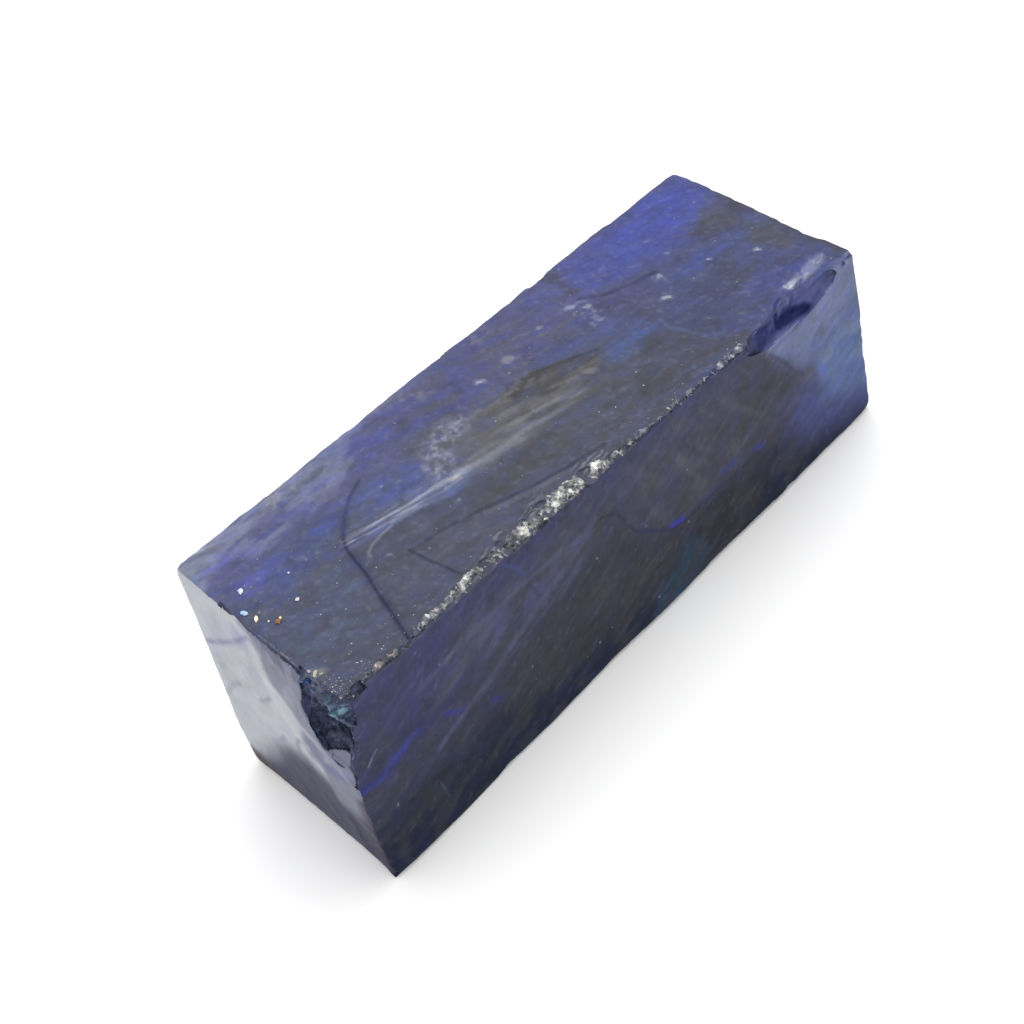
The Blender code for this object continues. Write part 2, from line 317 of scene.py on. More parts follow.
def fine_copy(source):
    """The CAD stone's mesh in millimetres, smoothed where it was sawn and finely divided."""
    bm = bmesh.new()
    bm.from_mesh(source)
    bmesh.ops.scale(bm, vec=(1 / MM,) * 3, verts=bm.verts)
    bmesh.ops.remove_doubles(bm, verts=bm.verts, dist=0.001)
    bmesh.ops.triangulate(bm, faces=bm.faces)
    bm.verts.index_update()
    points = np.array([v.co for v in bm.verts])
    tris = np.array([[v.index for v in f.verts] for f in bm.faces])
    bm.free()
    for _ in range(2):
        points, tris = divided(points, tris, lambda middles: np.full(len(middles), FIRST_EDGE))
    points = relaxed(points, tris, rounds=14, strength=0.6)
    for _ in range(3):
        points, tris = divided(points, tris, edge_limit)
    return worn_arrises(points, tris, rounds=6, strength=0.5), tris


def end_x(y, z):
    """Where the sawn near end lies, beside the corner chip."""
    down = END_TOP - z
    slant = END_SLANT + END_SLANT_MORE * np.clip(down / END_SLANT_FADE, 0.0, 1.0)
    return END_X - END_LEAN * down + slant * y


def depth_under_own(own, top, x, y, z):
    """How deep a place lies under the sawn face that it is turned to."""
    height, slope_x, slope_y = top
    under_top = height + slope_x * x + slope_y * y - z
    return np.select([own == FRONT, own == NEAR], [y - FRONT_Y, x - end_x(y, z)], under_top)


def is_broken(deep, facing, rule):
    """Whether a place is broken stone, by its depth and by how much it faces a sawn way."""
    depth, shallow, most = rule
    return (deep > depth) | ((deep > shallow) & (facing < most))


def uneven(x, scale, seed, amount):
    """Noise along the stone."""
    return np.array([noise.noise(Vector((a * scale, 0.0, seed))) for a in x]) * amount


class Surface:
    """The fine mesh as arrays, with the region of each triangle."""

    def __init__(self, points, tris):
        self.points = points
        self.tris = tris
        self.face_normals = face_normals_of(points, tris)
        self.normals = vertex_normals_of(points, tris)
        self.centres = points[tris].mean(axis=1)
        self.region = self.regions()

    def regions(self):
        """The region of each triangle, from where it lies and which way it faces."""
        x, y, z = self.centres.T
        dots = self.face_normals @ SAWN_NORMALS.T
        own = dots.argmax(axis=1)
        facing = dots.max(axis=1)
        border = rows(CHIP_BORDER)
        above = z > np.interp(y, border[:, 0], border[:, 1])
        cut = is_broken(depth_under_own(own, NEAR_TOP, x, y, z), facing, NEAR_BREAK)
        cut |= (own == NEAR) & (y < CHIP_FRONT_Y)
        corner = in_box(self.centres, CHIP_BOX) & above & cut
        facet = in_box(self.centres, FACET_BOX) & ~above & (dots[:, NEAR] > FACET_FACING)
        cut = is_broken(depth_under_own(own, FAR_TOP, x, y, z), facing, FAR_BREAK)
        hollow = in_box(self.centres, HOLLOW_BOX) & cut
        region = own.copy()
        region[facet] = NEAR
        region[self.settled(self.flaked(), 2)] = FLAKES
        region[self.settled(corner, 4)] = CORNER
        region[self.settled(hollow, 4)] = HOLLOW
        return region

    def flaked(self):
        """Whether each triangle lies in the flakes along the front top arris."""
        x, y, z = self.centres.T
        reach = rows(FLAKE_REACH)
        edge_y = np.interp(x, reach[:, 0], reach[:, 1])
        edge_y = edge_y + uneven(x, 1.3, 5.0, 0.15) + uneven(x, 3.4, 9.0, 0.25)
        drop = FLAKE_DROP + uneven(x, 1.9, 13.0, 0.3) + uneven(x, 6.0, 17.0, 0.2)
        return (y < edge_y) & (z > self.arris_height(x) - drop)

    def settled(self, chosen, rounds):
        """The chosen triangles, with lone ones taken out and gaps and ragged borders filled."""
        _, which = edges_of(self.tris, len(self.points))
        for _ in range(rounds):
            on_edge = np.bincount(which.ravel(), np.repeat(chosen, 3))
            neighbours = on_edge[which].sum(axis=1) - 3 * chosen
            chosen = neighbours > 1.5
        return chosen

    def arris_height(self, x):
        """How high the front top arris is at x."""
        front_top = self.points[(self.points[:, 1] < ARRIS_Y) & (self.points[:, 2] > ARRIS_Z)]
        steps = np.arange(-ARRIS_END, ARRIS_END + 0.1, ARRIS_STEP)
        heights = []
        for step in steps:
            close = front_top[np.abs(front_top[:, 0] - step) < ARRIS_WIDTH]
            heights.append(close[:, 2].max() if len(close) else ARRIS_MISSING)
        return np.interp(x, steps, heights)

    def inner_verts(self, wanted):
        """The vertices that only triangles of the wanted regions meet."""
        chosen = np.isin(self.region, wanted)
        outer = np.zeros(len(self.points), bool)
        outer[self.tris[~chosen].ravel()] = True
        used = np.zeros(len(self.points), bool)
        used[self.tris[chosen].ravel()] = True
        return np.nonzero(used & ~outer)[0]


# --- Relief ----------------------------------------------------------------------------

# The small facets of the breaks: the region, and the size of a facet, how much it tilts
# and how far it may move a vertex.
FACETS = (
    (CORNER, 1.2, 0.22, 0.22), (CORNER, 0.4, 0.2, 0.06),
    (FLAKES, 0.62, 0.18, 0.11), (FLAKES, 0.24, 0.24, 0.06),
)
# The area of stone for each vertex of a break, how uneven the borders of the facets are,
# and how steep a facet may count as when it moves a vertex.
VERT_AREA = 0.010
FACET_WARP = 0.35
STEEPEST_FACET = 0.3
# Waves of relief, as (scale, height): the swells of the hollow and the marks of the saw.
HOLLOW_SWELLS = ((0.9, 0.12), (2.4, 0.04))
SAW_MARKS = ((1.1, 0.030), (3.1, 0.012))
RIPPLE_HEIGHT = 0.07


def relief(point, waves):
    """The height of the relief at a point."""
    return sum(noise.noise(point * scale) * height for scale, height in waves)


def break_into_facets(surface, chosen, size, tilt, depth, luck):
    """Turns the surface at the chosen vertices into small flat facets, each tilted its own way."""
    points = surface.points[chosen]
    normals = surface.normals[chosen]
    count = max(4, int(len(chosen) * VERT_AREA / size ** 2))
    picks = luck.choice(len(chosen), min(count, len(chosen)), replace=False)
    tree = KDTree(len(picks))
    for i, pick in enumerate(picks):
        tree.insert(points[pick], i)
    tree.balance()
    tilts = luck.normal(0.0, tilt, (len(picks), 3))
    lift = luck.uniform(-0.5, 0.5, len(picks)) * depth
    for place, point, normal in zip(chosen, points, normals):
        warp = noise.noise_vector(Vector(point) * (0.9 / size)) * size * FACET_WARP
        _, i, _ = tree.find(Vector(point) + warp)
        middle = points[picks[i]]
        facet = normals[picks[i]] + tilts[i]
        facet /= np.linalg.norm(facet)
        slope = max(normal @ facet, STEEPEST_FACET)
        move = -((point - middle) @ facet) / slope + lift[i]
        surface.points[place] = point + normal * min(max(move, -depth), depth)


def undulate(surface, chosen):
    """Gives the chosen vertices soft swells, which die away at the border around them."""
    free = np.zeros(len(surface.points), bool)
    free[chosen] = True
    edges, _ = edges_of(surface.tris, len(surface.points))
    surface.points = smoothed(surface.points, edges, free, 6, 0.5)
    moved = surface.points.copy()
    for place in chosen:
        swell = relief(Vector(surface.points[place]), HOLLOW_SWELLS)
        moved[place] += surface.normals[place] * swell
    surface.points = smoothed(moved, edges, free, 3, 0.5)


def ripple(point):
    """The ridges of the rippled break by the arris: 1 on a ridge, and towards 0 between them."""
    warp = noise.noise_vector(point * 0.7) * 0.9 + noise.noise_vector(point * 2.4) * 0.3
    across = (point.y * 2.0 - point.x * 0.55 + warp.x) * 1.05
    return abs(math.sin(across * math.pi)) ** 2


def rippled(points):
    """How much each point lies in the rippled break, 0 to 1."""
    reach = rows(RIPPLE_REACH)
    edge_y = np.interp(points[:, 0], reach[:, 0], reach[:, 1], left=-9.0, right=-9.0)
    shown = smooth_step(0.15, -0.25, points[:, 1] - edge_y) * (points[:, 2] > TOP_FROM_Z)
    places = np.nonzero(shown > 0.0)[0]
    broken = np.array([noise.noise(Vector(points[place]) * 0.9) for place in places])
    shown[places] *= smooth_step(-0.25, 0.2, broken)
    return shown


def roughen_sawn(surface):
    """Adds the fine unevenness that the saw left, and the ripples by the arris."""
    chosen = surface.inner_verts(SAWN)
    shares = rippled(surface.points[chosen])
    for place, share in zip(chosen, shares):
        point = Vector(surface.points[place])
        if point.z < BASE_RELIEF_Z:
            continue
        if share > 0.0:
            height = ripple(point) * RIPPLE_HEIGHT * share
            surface.points[place] += surface.normals[place] * height
        surface.points[place] += surface.normals[place] * relief(point, SAW_MARKS)


# --- Paint -----------------------------------------------------------------------------
# Colours are sRGB, 0 to 255, as each face looks in even light. On the top a place is
# (x, y), on the front (x, z) and on the near end (y, z). In the corner chip it is (y, z)
# too, and in the far hollow it is x, and how far up from the lower rim it lies over the
# floor and the wall of the hollow.

Patch = namedtuple("Patch", "colour strength soft outline")
Line = namedtuple("Line", "colour strength width path")
Spot = namedtuple("Spot", "colour strength radius place")
# Uneven spots or streaks within an outline. They are stretched along a turned
# direction, and the sparser they are the less of it they cover.
Lumps = namedtuple("Lumps", "colour strength soft outline along across turn sparse")


def named(kind, **entries):
    """The entries by their names, each as one of that kind."""
    return {name: kind(*entry) for name, entry in entries.items()}


def listed(kind, *entries):
    """The entries in order, each as one of that kind."""
    return [kind(*entry) for entry in entries]


TOP_PATCHES = named(
    Patch,
    near_back_pale=((136, 141, 180), 0.75, 1.3, ((-25.4, 8.8), (-21.6, 8.8), (-21.4, 5.6),
        (-24.6, 4.4))),
    far_half=((86, 92, 134), 0.8, 2.5, ((5, 12), (28, 12), (28, -9), (7, -9), (8, -1))),
    back_band=((96, 98, 138), 0.8, 1.4, ((-26, 12), (28, 12), (28, 3.4), (10, 3.2), (-2, 2.6),
        (-10, 3.3), (-26, 2.6))),
    pale_back_edge=((142, 148, 176), 0.75, 0.9, ((-28, 11), (-2, 11), (-2, 7.9), (-9, 7.4),
        (-15, 6.9), (-19, 6.3), (-23, 5.6), (-28, 3.8))),
    # Painted glare: a pale haze of light over the near tip.
    pale_tip=((176, 188, 206), 0.95, 1.7, ((-29, 12), (-19.4, 12), (-21.2, 8.0), (-23.2, 6.6),
        (-25.0, 5.0), (-29, 2.5))),
    violet_near=((97, 100, 165), 0.75, 0.9, ((-24.3, 3.3), (-23.4, 5.6), (-21.2, 6.4), (-19.6, 4.6),
        (-20.3, 2.2), (-22.6, 1.6))),
    pale_streak=((134, 138, 168), 0.7, 0.5, ((-19.4, 4.7), (-16.5, 5.8), (-12.6, 6.4), (-10.6, 6.2),
        (-11.4, 5.3), (-15.2, 5.0))),
    teal_blotch=((92, 106, 124), 0.7, 0.5, ((-15.6, 6.9), (-13.6, 7.4), (-10.8, 7.2), (-9.9, 6.5),
        (-12.4, 6.4), (-15.0, 6.3))),
    blue_near=((82, 94, 142), 0.55, 0.9, ((-19.5, 4.4), (-15.5, 4.7), (-13.5, 3.6), (-16.4, 1.4),
        (-20.6, 1.2), (-21.3, 3.0))),
    blue_streaks=((92, 104, 152), 0.7, 0.7, ((-13.6, 3.4), (-10.6, 4.1), (-8.0, 2.8), (-8.6, 0.9),
        (-12.2, 0.7), (-14.8, 1.2))),
    blue_back_mid=((92, 96, 158), 0.55, 0.7, ((-10.5, 7.6), (-5.0, 7.2), (-4.6, 6.0), (-8.5, 5.0),
        (-11.2, 6.2))),
    grey_back_mid=((93, 93, 113), 0.45, 1.0, ((-7.5, 6.4), (7.4, 6.4), (7.4, 3.8), (-7.0, 3.6))),
    grey_front_mid=((85, 85, 89), 0.6, 1.0, ((-9.4, -2.6), (-1.0, -2.8), (-1.0, -5.4),
        (-8.0, -5.0))),
    violet_mid=((93, 93, 130), 0.7, 1.0, ((-3.2, 2.8), (-2.6, 5.4), (1.0, 5.8), (6.2, 5.6),
        (8.4, 4.4), (5.8, 3.6), (2.6, 2.6), (0.2, 1.9))),
    dark_back=((88, 88, 108), 0.8, 0.5, ((-5.8, 3.3), (-5.3, 4.6), (-3.6, 5.4), (-2.4, 4.6),
        (-3.2, 3.2))),
    vivid_far=((85, 92, 156), 0.9, 1.0, ((10.8, 3.4), (10.2, 5.0), (11.2, 7.4), (17.0, 7.7),
        (24.8, 7.5), (24.8, 4.4), (19.6, 2.3), (14.2, 2.6))),
    vivid_corner=((84, 91, 166), 0.85, 1.2, ((14.6, 4.6), (16.4, 6.9), (21.6, 7.2), (24.0, 6.4),
        (22.6, 4.2), (17.0, 3.6))),
    dark_notch=((84, 86, 104), 0.8, 0.35, ((9.5, 8.6), (9.6, 6.2), (9.9, 4.3), (10.5, 4.6),
        (10.6, 6.8), (11.4, 8.6))),
    pale_mottle=((128, 128, 142), 0.5, 0.7, ((-8.6, 0.8), (-7.9, 2.6), (-6.0, 3.4), (-4.2, 3.2),
        (-3.6, 1.6), (-6.0, 0.4))),
    warm_middle=((112, 111, 112), 0.75, 0.9, ((-6.6, 0.7), (-3.0, 2.2), (0.8, 2.6), (2.4, 1.4),
        (4.6, -0.6), (2.0, -1.7), (-3.0, -1.6), (-6.2, -0.9))),
    dark_wedge=((80, 79, 80), 0.95, 0.22, ((0.3, 2.5), (1.2, 2.3), (2.4, 1.65), (4.2, 0.75),
        (6.5, -0.3), (5.2, -0.9), (2.4, -1.0), (0.6, -0.2), (-0.6, 1.0))),
    pale_band=((122, 123, 134), 0.6, 0.8, ((-10.5, 0.3), (-6.0, -0.2), (-1.5, -1.0), (3.4, -1.4),
        (3.2, -2.5), (-2.0, -2.5), (-8.2, -1.6))),
    blue_right_of_wedge=((84, 106, 160), 0.6, 0.55, ((5.6, -0.9), (7.6, -0.9), (10.4, -1.0),
        (11.0, -1.6), (8.0, -2.0), (6.0, -1.7))),
    blue_above_wedge=((90, 98, 142), 0.6, 0.8, ((3.4, 1.7), (6.8, 1.4), (9.8, 1.0), (10.6, -0.6),
        (6.9, -0.5))),
    dark_right_mid=((84, 86, 112), 0.6, 0.6, ((10.6, 3.6), (14.4, 2.2), (13.6, 0.8), (11.0, 0.2),
        (10.2, 1.8))),
    blue_far_strip=((82, 96, 156), 0.75, 0.5, ((13.0, -0.8), (15.2, 0.2), (19.2, 0.3), (23.2, 0.0),
        (22.6, -0.8), (17.8, -0.9), (13.6, -1.6))),
    dark_far_edge=((80, 80, 92), 0.85, 0.6, ((19.6, 2.3), (22.2, 2.4), (24.9, 3.4), (24.9, 0.4),
        (22.6, 0.5), (19.4, 1.0))),
    dark_far_front=((86, 88, 104), 0.6, 0.6, ((20.6, -0.9), (24.8, -0.7), (24.8, -5.0),
        (23.0, -4.4), (22.0, -2.4))),
    grey_far_front=((80, 84, 112), 0.75, 0.35, ((11.3, -1.8), (11.2, -3.4), (11.8, -5.2),
        (13.0, -6.4), (16.0, -5.2), (18.6, -3.6), (19.0, -2.0), (15.0, -1.3))),
    blue_far_corner=((82, 88, 144), 0.6, 0.8, ((15.8, -5.4), (19.4, -4.0), (23.4, -4.8),
        (23.8, -6.6), (15.4, -7.4))),
    violet_triangle=((92, 91, 108), 0.6, 0.4, ((-14.2, -2.7), (-9.0, -4.0), (-5.0, -5.3),
        (0.0, -6.5), (-2.0, -8.5), (-14.0, -8.5))),
    blue_left_of_crack=((92, 99, 126), 0.5, 1.2, ((-25.0, 1.0), (-19.0, 1.6), (-17.0, -1.0),
        (-18.6, -5.0), (-25.0, -5.0))),
    grey_strip=((95, 96, 108), 0.5, 1.0, ((-3.6, -2.6), (9.8, -2.8), (10.6, -6.4), (0.6, -6.6),
        (-3.6, -5.0))),
    grey_front_plate=((85, 87, 100), 0.75, 0.3, ((9.6, -1.8), (11.2, -2.7), (11.3, -3.9),
        (12.1, -6.0), (13.5, -6.7), (14.0, -7.4), (12.0, -7.8), (9.6, -7.6), (6.4, -7.0),
        (5.0, -5.6), (7.0, -3.8), (8.0, -2.6))),
    grey_violet_plate=((87, 88, 118), 0.65, 0.35, ((10.4, 3.4), (12.9, 2.3), (15.1, 1.3),
        (13.9, 0.6), (12.8, -0.6), (11.0, -1.1), (9.8, 0.3), (9.4, 2.3))),
    blue_between=((86, 94, 138), 0.6, 0.6, ((14.9, 0.3), (16.4, -0.9), (14.3, -2.2), (12.6, -2.5),
        (12.0, -1.6), (13.4, -0.8))),
    dark_blotch=((80, 84, 108), 0.8, 0.4, ((18.2, -0.6), (19.4, -1.6), (19.1, -3.0), (17.4, -4.0),
        (16.2, -3.1), (16.6, -1.6))),
    far_grey=((89, 91, 101), 0.7, 0.5, ((22.3, 3.6), (23.3, 2.4), (23.3, -1.2), (23.8, -3.8),
        (22.4, -4.6), (21.2, -3.0), (21.4, -1.8), (22.4, -1.0), (21.2, 0.4), (20.6, 1.4),
        (20.9, 2.9))),
)
WHOLE_TOP = ((-26, -9), (26, -9), (26, 9), (-26, 9))
FRONT_HALF = ((-26, -9), (26, -9), (26, 0), (-26, 0))
BACK_NEAR = ((-26, 0), (9, 0), (9, 9), (-26, 9))
BACK_FAR = ((9, 0), (26, 0), (26, 9), (9, 9))
VEINS = (
    (-8.9, -0.9), (-7.2, -0.7), (-6.4, 1.4), (-4.0, 1.6), (-3.4, 3.0), (-5.4, 3.6), (-7.2, 2.9),
    (-8.8, 1.4),
)
TOP_LUMPS = named(
    Lumps,
    blue_streaks_back=((84, 92, 150), 0.4, 1.0, BACK_NEAR, 0.35, 1.0, -10.0, 0.05),
    blue_streaks_far=((84, 92, 150), 0.2, 1.0, BACK_FAR, 0.35, 1.0, -10.0, 0.05),
    grey_streaks_back=((98, 99, 112), 0.45, 1.0, BACK_NEAR, 0.3, 1.4, -16.0, 0.12),
    grey_streaks_far=((92, 94, 118), 0.2, 1.0, BACK_FAR, 0.3, 1.4, -16.0, 0.12),
    grey_streaks_front=((84, 85, 96), 0.45, 1.0, FRONT_HALF, 0.25, 1.2, -8.0, 0.08),
    blue_front=((85, 92, 122), 0.35, 1.0, FRONT_HALF, 0.35, 0.7, -20.0, 0.15),
    pale_dust=((138, 144, 158), 0.22, 1.0, WHOLE_TOP, 2.2, 2.8, -20.0, 0.42),
    teal_dust=((94, 116, 132), 0.28, 1.0, ((-25, -6), (-16, -5), (-16, 3), (-25, 4)), 1.5, 1.8, 0.0,
        0.3),
    pale_near_back=((140, 146, 172), 0.5, 0.8, ((-23, 7.8), (-10, 7.6), (-9.6, 5.0), (-20, 4.4)),
        0.35, 1.7, 8.0, 0.05),
    scuffs_back=((158, 158, 172), 0.55, 0.5, ((-17, 8), (-14, 8), (-14, 6.8), (-17, 6.6)), 1.3, 1.6,
        20.0, 0.1),
    scuffs_mid_back=((138, 134, 144), 0.5, 0.5, ((-5.4, 7.6), (-2.8, 7.6), (-2.8, 6.0),
        (-4.6, 6.0)), 1.2, 1.2, 0.0, 0.05),
    scuffs_far_back=((132, 130, 144), 0.5, 0.5, ((1.4, 7.7), (3.8, 7.7), (3.6, 6.6), (1.8, 6.6)),
        1.2, 1.4, 0.0, 0.05),
    bundle_blue=((104, 116, 158), 0.65, 0.35, ((-16.4, 1.6), (-16.6, 0.4), (-13.0, -0.6),
        (-8.4, -1.9), (-6.6, -1.4), (-8.0, 0.4), (-12.0, 1.2)), 0.16, 1.6, -11.0, -0.1),
    bundle_white=((162, 166, 178), 0.75, 0.35, ((-16.5, 1.3), (-16.4, 0.5), (-12.4, -0.4),
        (-8.6, -1.4), (-6.6, -0.9), (-9.0, 0.1), (-12.4, 0.7)), 0.3, 3.4, -11.5, 0.02),
    bundle_far=((146, 148, 156), 0.6, 0.5, ((-8.6, 0.1), (-4.0, -0.3), (1.0, -1.2), (3.8, -1.6),
        (3.0, -2.4), (-3.0, -2.0), (-7.6, -1.5)), 0.16, 1.7, -9.0, 0.05),
    veins=((138, 140, 156), 0.55, 0.7, VEINS, 1.9, 2.3, 25.0, 0.08),
    veins_pale=((166, 164, 176), 0.6, 0.7, VEINS, 2.6, 3.2, -20.0, 0.26),
    veins_far=((128, 126, 136), 0.55, 0.6, ((-4.0, 2.7), (0.8, 2.2), (2.8, 1.2), (2.0, 0.6),
        (-2.0, 1.2), (-4.4, 1.6)), 1.4, 2.4, -18.0, 0.05),
    brown_streaks=((124, 123, 124), 0.6, 0.7, ((-5.0, 1.2), (1.0, 1.4), (6.0, -0.6), (5.0, -2.6),
        (-3.4, -2.2)), 0.2, 1.5, -13.0, 0.05),
    brown_dark=((88, 87, 88), 0.5, 0.7, ((-5.0, 2.0), (1.0, 2.0), (6.4, -0.4), (5.0, -3.4),
        (-3.4, -2.8)), 0.24, 1.6, -15.0, 0.12),
    low_grey=((84, 84, 90), 0.5, 0.8, ((-12.0, -2.0), (9.0, -3.0), (11.5, -6.8), (1.0, -6.4),
        (-5.0, -5.0), (-13.0, -3.0)), 0.35, 1.2, -10.0, 0.1),
    dust_mid_far_1=((166, 170, 186), 0.36, 0.3, ((8.0, 4.6), (9.6, 4.6), (10.2, 2.6), (9.4, 1.0),
        (8.2, 1.0)), 2.4, 2.9, 0.0, 0.24),
    dust_mid_far_2=((140, 146, 168), 0.4, 0.25, ((14.1, 1.6), (15.0, 1.6), (14.9, 0.3),
        (14.0, 0.3)), 1.8, 2.0, 0.0, 0.1),
    dust_mid_far_3=((150, 156, 172), 0.4, 0.25, ((12.6, -0.2), (13.7, -0.3), (13.6, -1.2),
        (12.6, -1.2)), 1.8, 2.2, 0.0, 0.2),
    scratch_base=((136, 142, 172), 0.85, 0.25, ((18.6, -6.5), (20.2, -6.4), (22.2, -6.3),
        (23.2, -6.5), (23.0, -6.95), (21.4, -7.3), (20.0, -7.3), (18.8, -7.1)), 1.1, 2.0, 5.0,
        -0.35),
    scratch_patch=((172, 174, 194), 0.9, 0.2, ((18.9, -6.5), (20.2, -6.5), (22.2, -6.5),
        (23.1, -6.65), (22.2, -6.95), (20.6, -7.1), (19.0, -7.1)), 1.3, 2.4, 10.0, 0.0),
    scratch_bright=((222, 226, 236), 0.95, 0.12, ((18.8, -6.5), (19.35, -6.6), (19.4, -7.0),
        (18.85, -6.95)), 1.6, 2.0, 0.0, -0.3),
)
TOP_LINES = named(
    Line,
    near_edge=((50, 52, 68), 0.8, 0.24, ((-24.4, 3.6), (-24.68, 1.6), (-24.88, -0.6),
        (-24.95, -3.0), (-25.0, -5.0))),
    far_edge=((84, 82, 86), 0.7, 0.5, ((24.9, 6.4), (24.7, 2.0), (24.4, -3.0), (24.2, -7.2))),
    back_edge=((100, 99, 104), 0.55, 0.45, ((-16.0, 8.35), (-6.0, 8.4), (4.0, 8.25), (14.0, 8.1),
        (23.6, 7.95))),
    crack_top=((58, 64, 104), 0.6, 0.22, ((-11.9, 4.1), (-13.2, 3.6), (-14.8, 2.5), (-16.0, 1.4),
        (-16.5, 0.4))),
    crack=((44, 46, 66), 0.85, 0.17, ((-16.1, 1.2), (-16.5, 0.4), (-17.1, -1.5), (-18.0, -4.0),
        (-19.3, -7.6))),
    crack_shade=((70, 73, 98), 0.45, 0.55, ((-14.8, 2.5), (-16.2, 1.2), (-16.8, -0.6),
        (-17.8, -3.6), (-19.1, -7.2))),
    triangle_near=((58, 60, 78), 0.6, 0.2, ((-14.2, -2.8), (-14.1, -4.2), (-13.9, -5.6),
        (-13.8, -6.7))),
    triangle_far=((62, 63, 80), 0.55, 0.24, ((-14.2, -2.8), (-11.6, -3.3), (-9.0, -4.0),
        (-7.0, -4.8), (-5.0, -5.4), (-2.0, -6.1), (0.0, -6.5))),
    triangle_light=((122, 122, 138), 0.4, 0.3, ((-9.0, -4.45), (-7.0, -5.2), (-5.0, -5.75),
        (-3.0, -6.2))),
    streak_1=((166, 170, 184), 0.45, 0.16, ((-16.3, 1.15), (-14.6, 0.62), (-12.2, 0.25),
        (-9.2, -0.45), (-7.6, -0.8))),
    streak_2=((160, 166, 182), 0.4, 0.16, ((-16.3, 0.75), (-14.2, 0.12), (-12.0, -0.15),
        (-9.4, -0.9), (-7.8, -1.15))),
    hook=((148, 154, 168), 0.65, 0.15, ((-16.0, -1.1), (-15.8, -0.8), (-15.2, -0.62),
        (-14.2, -0.42), (-13.4, -0.42))),
    wedge_rim=((60, 60, 68), 0.4, 0.24, ((2.1, 1.75), (3.4, 1.15), (4.8, 0.45), (6.4, -0.25))),
    dark_boundary=((64, 66, 96), 0.6, 0.24, ((9.8, 4.1), (10.5, 3.4), (11.7, 2.6), (13.0, 2.1),
        (14.0, 1.9), (15.0, 1.5))),
    light_left_edge=((98, 118, 150), 0.4, 0.26, ((11.25, -1.9), (11.15, -3.3), (11.6, -4.4),
        (11.9, -5.4), (12.8, -6.0))),
    plate_line=((46, 51, 90), 0.7, 0.17, ((16.4, -7.7), (16.7, -7.35), (17.1, -7.12),
        (17.7, -7.05))),
    left_hollow_edge=((50, 55, 90), 0.55, 0.4, ((13.2, -8.0), (14.4, -7.85), (15.6, -7.75),
        (16.4, -7.6))),
    brown_front=((84, 82, 86), 0.5, 0.5, ((1.6, -6.0), (4.5, -5.4), (8.4, -5.7), (11.6, -6.6))),
)
TOP_SPOTS = listed(
    Spot,
    ((196, 196, 206), 0.8, 0.30, (-0.5, 4.1)), ((150, 150, 160), 0.7, 0.42, (2.3, 4.0)),
    ((168, 178, 204), 0.8, 0.26, (8.7, 4.1)), ((176, 178, 190), 0.7, 0.22, (9.5, 3.0)),
    ((150, 160, 186), 0.7, 0.3, (8.9, 1.5)), ((156, 170, 190), 0.75, 0.2, (14.7, 1.1)),
    ((206, 210, 220), 0.9, 0.2, (13.2, -0.7)), ((180, 190, 214), 0.85, 0.18, (18.2, -0.5)),
    ((196, 200, 208), 0.85, 0.22, (21.0, -2.6)), ((134, 140, 176), 0.7, 0.22, (17.3, 4.3)),
    ((150, 160, 190), 0.6, 0.2, (17.0, 2.2)), ((160, 160, 172), 0.6, 0.2, (5.9, 4.5)),
    ((150, 146, 150), 0.6, 0.35, (4.6, -1.2)), ((188, 180, 178), 0.75, 0.26, (-8.0, -0.8)),
    ((130, 136, 160), 0.5, 0.5, (-22.6, 7.0)), ((120, 130, 160), 0.5, 0.3, (-18.8, 2.3)),
    ((150, 150, 166), 0.6, 0.16, (-17.9, 1.8)), ((150, 158, 170), 0.7, 0.12, (-9.2, -2.3)),
    ((140, 160, 176), 0.6, 0.16, (-15.2, -2.2)), ((148, 148, 144), 0.7, 0.4, (-24.5, -5.2)),
)
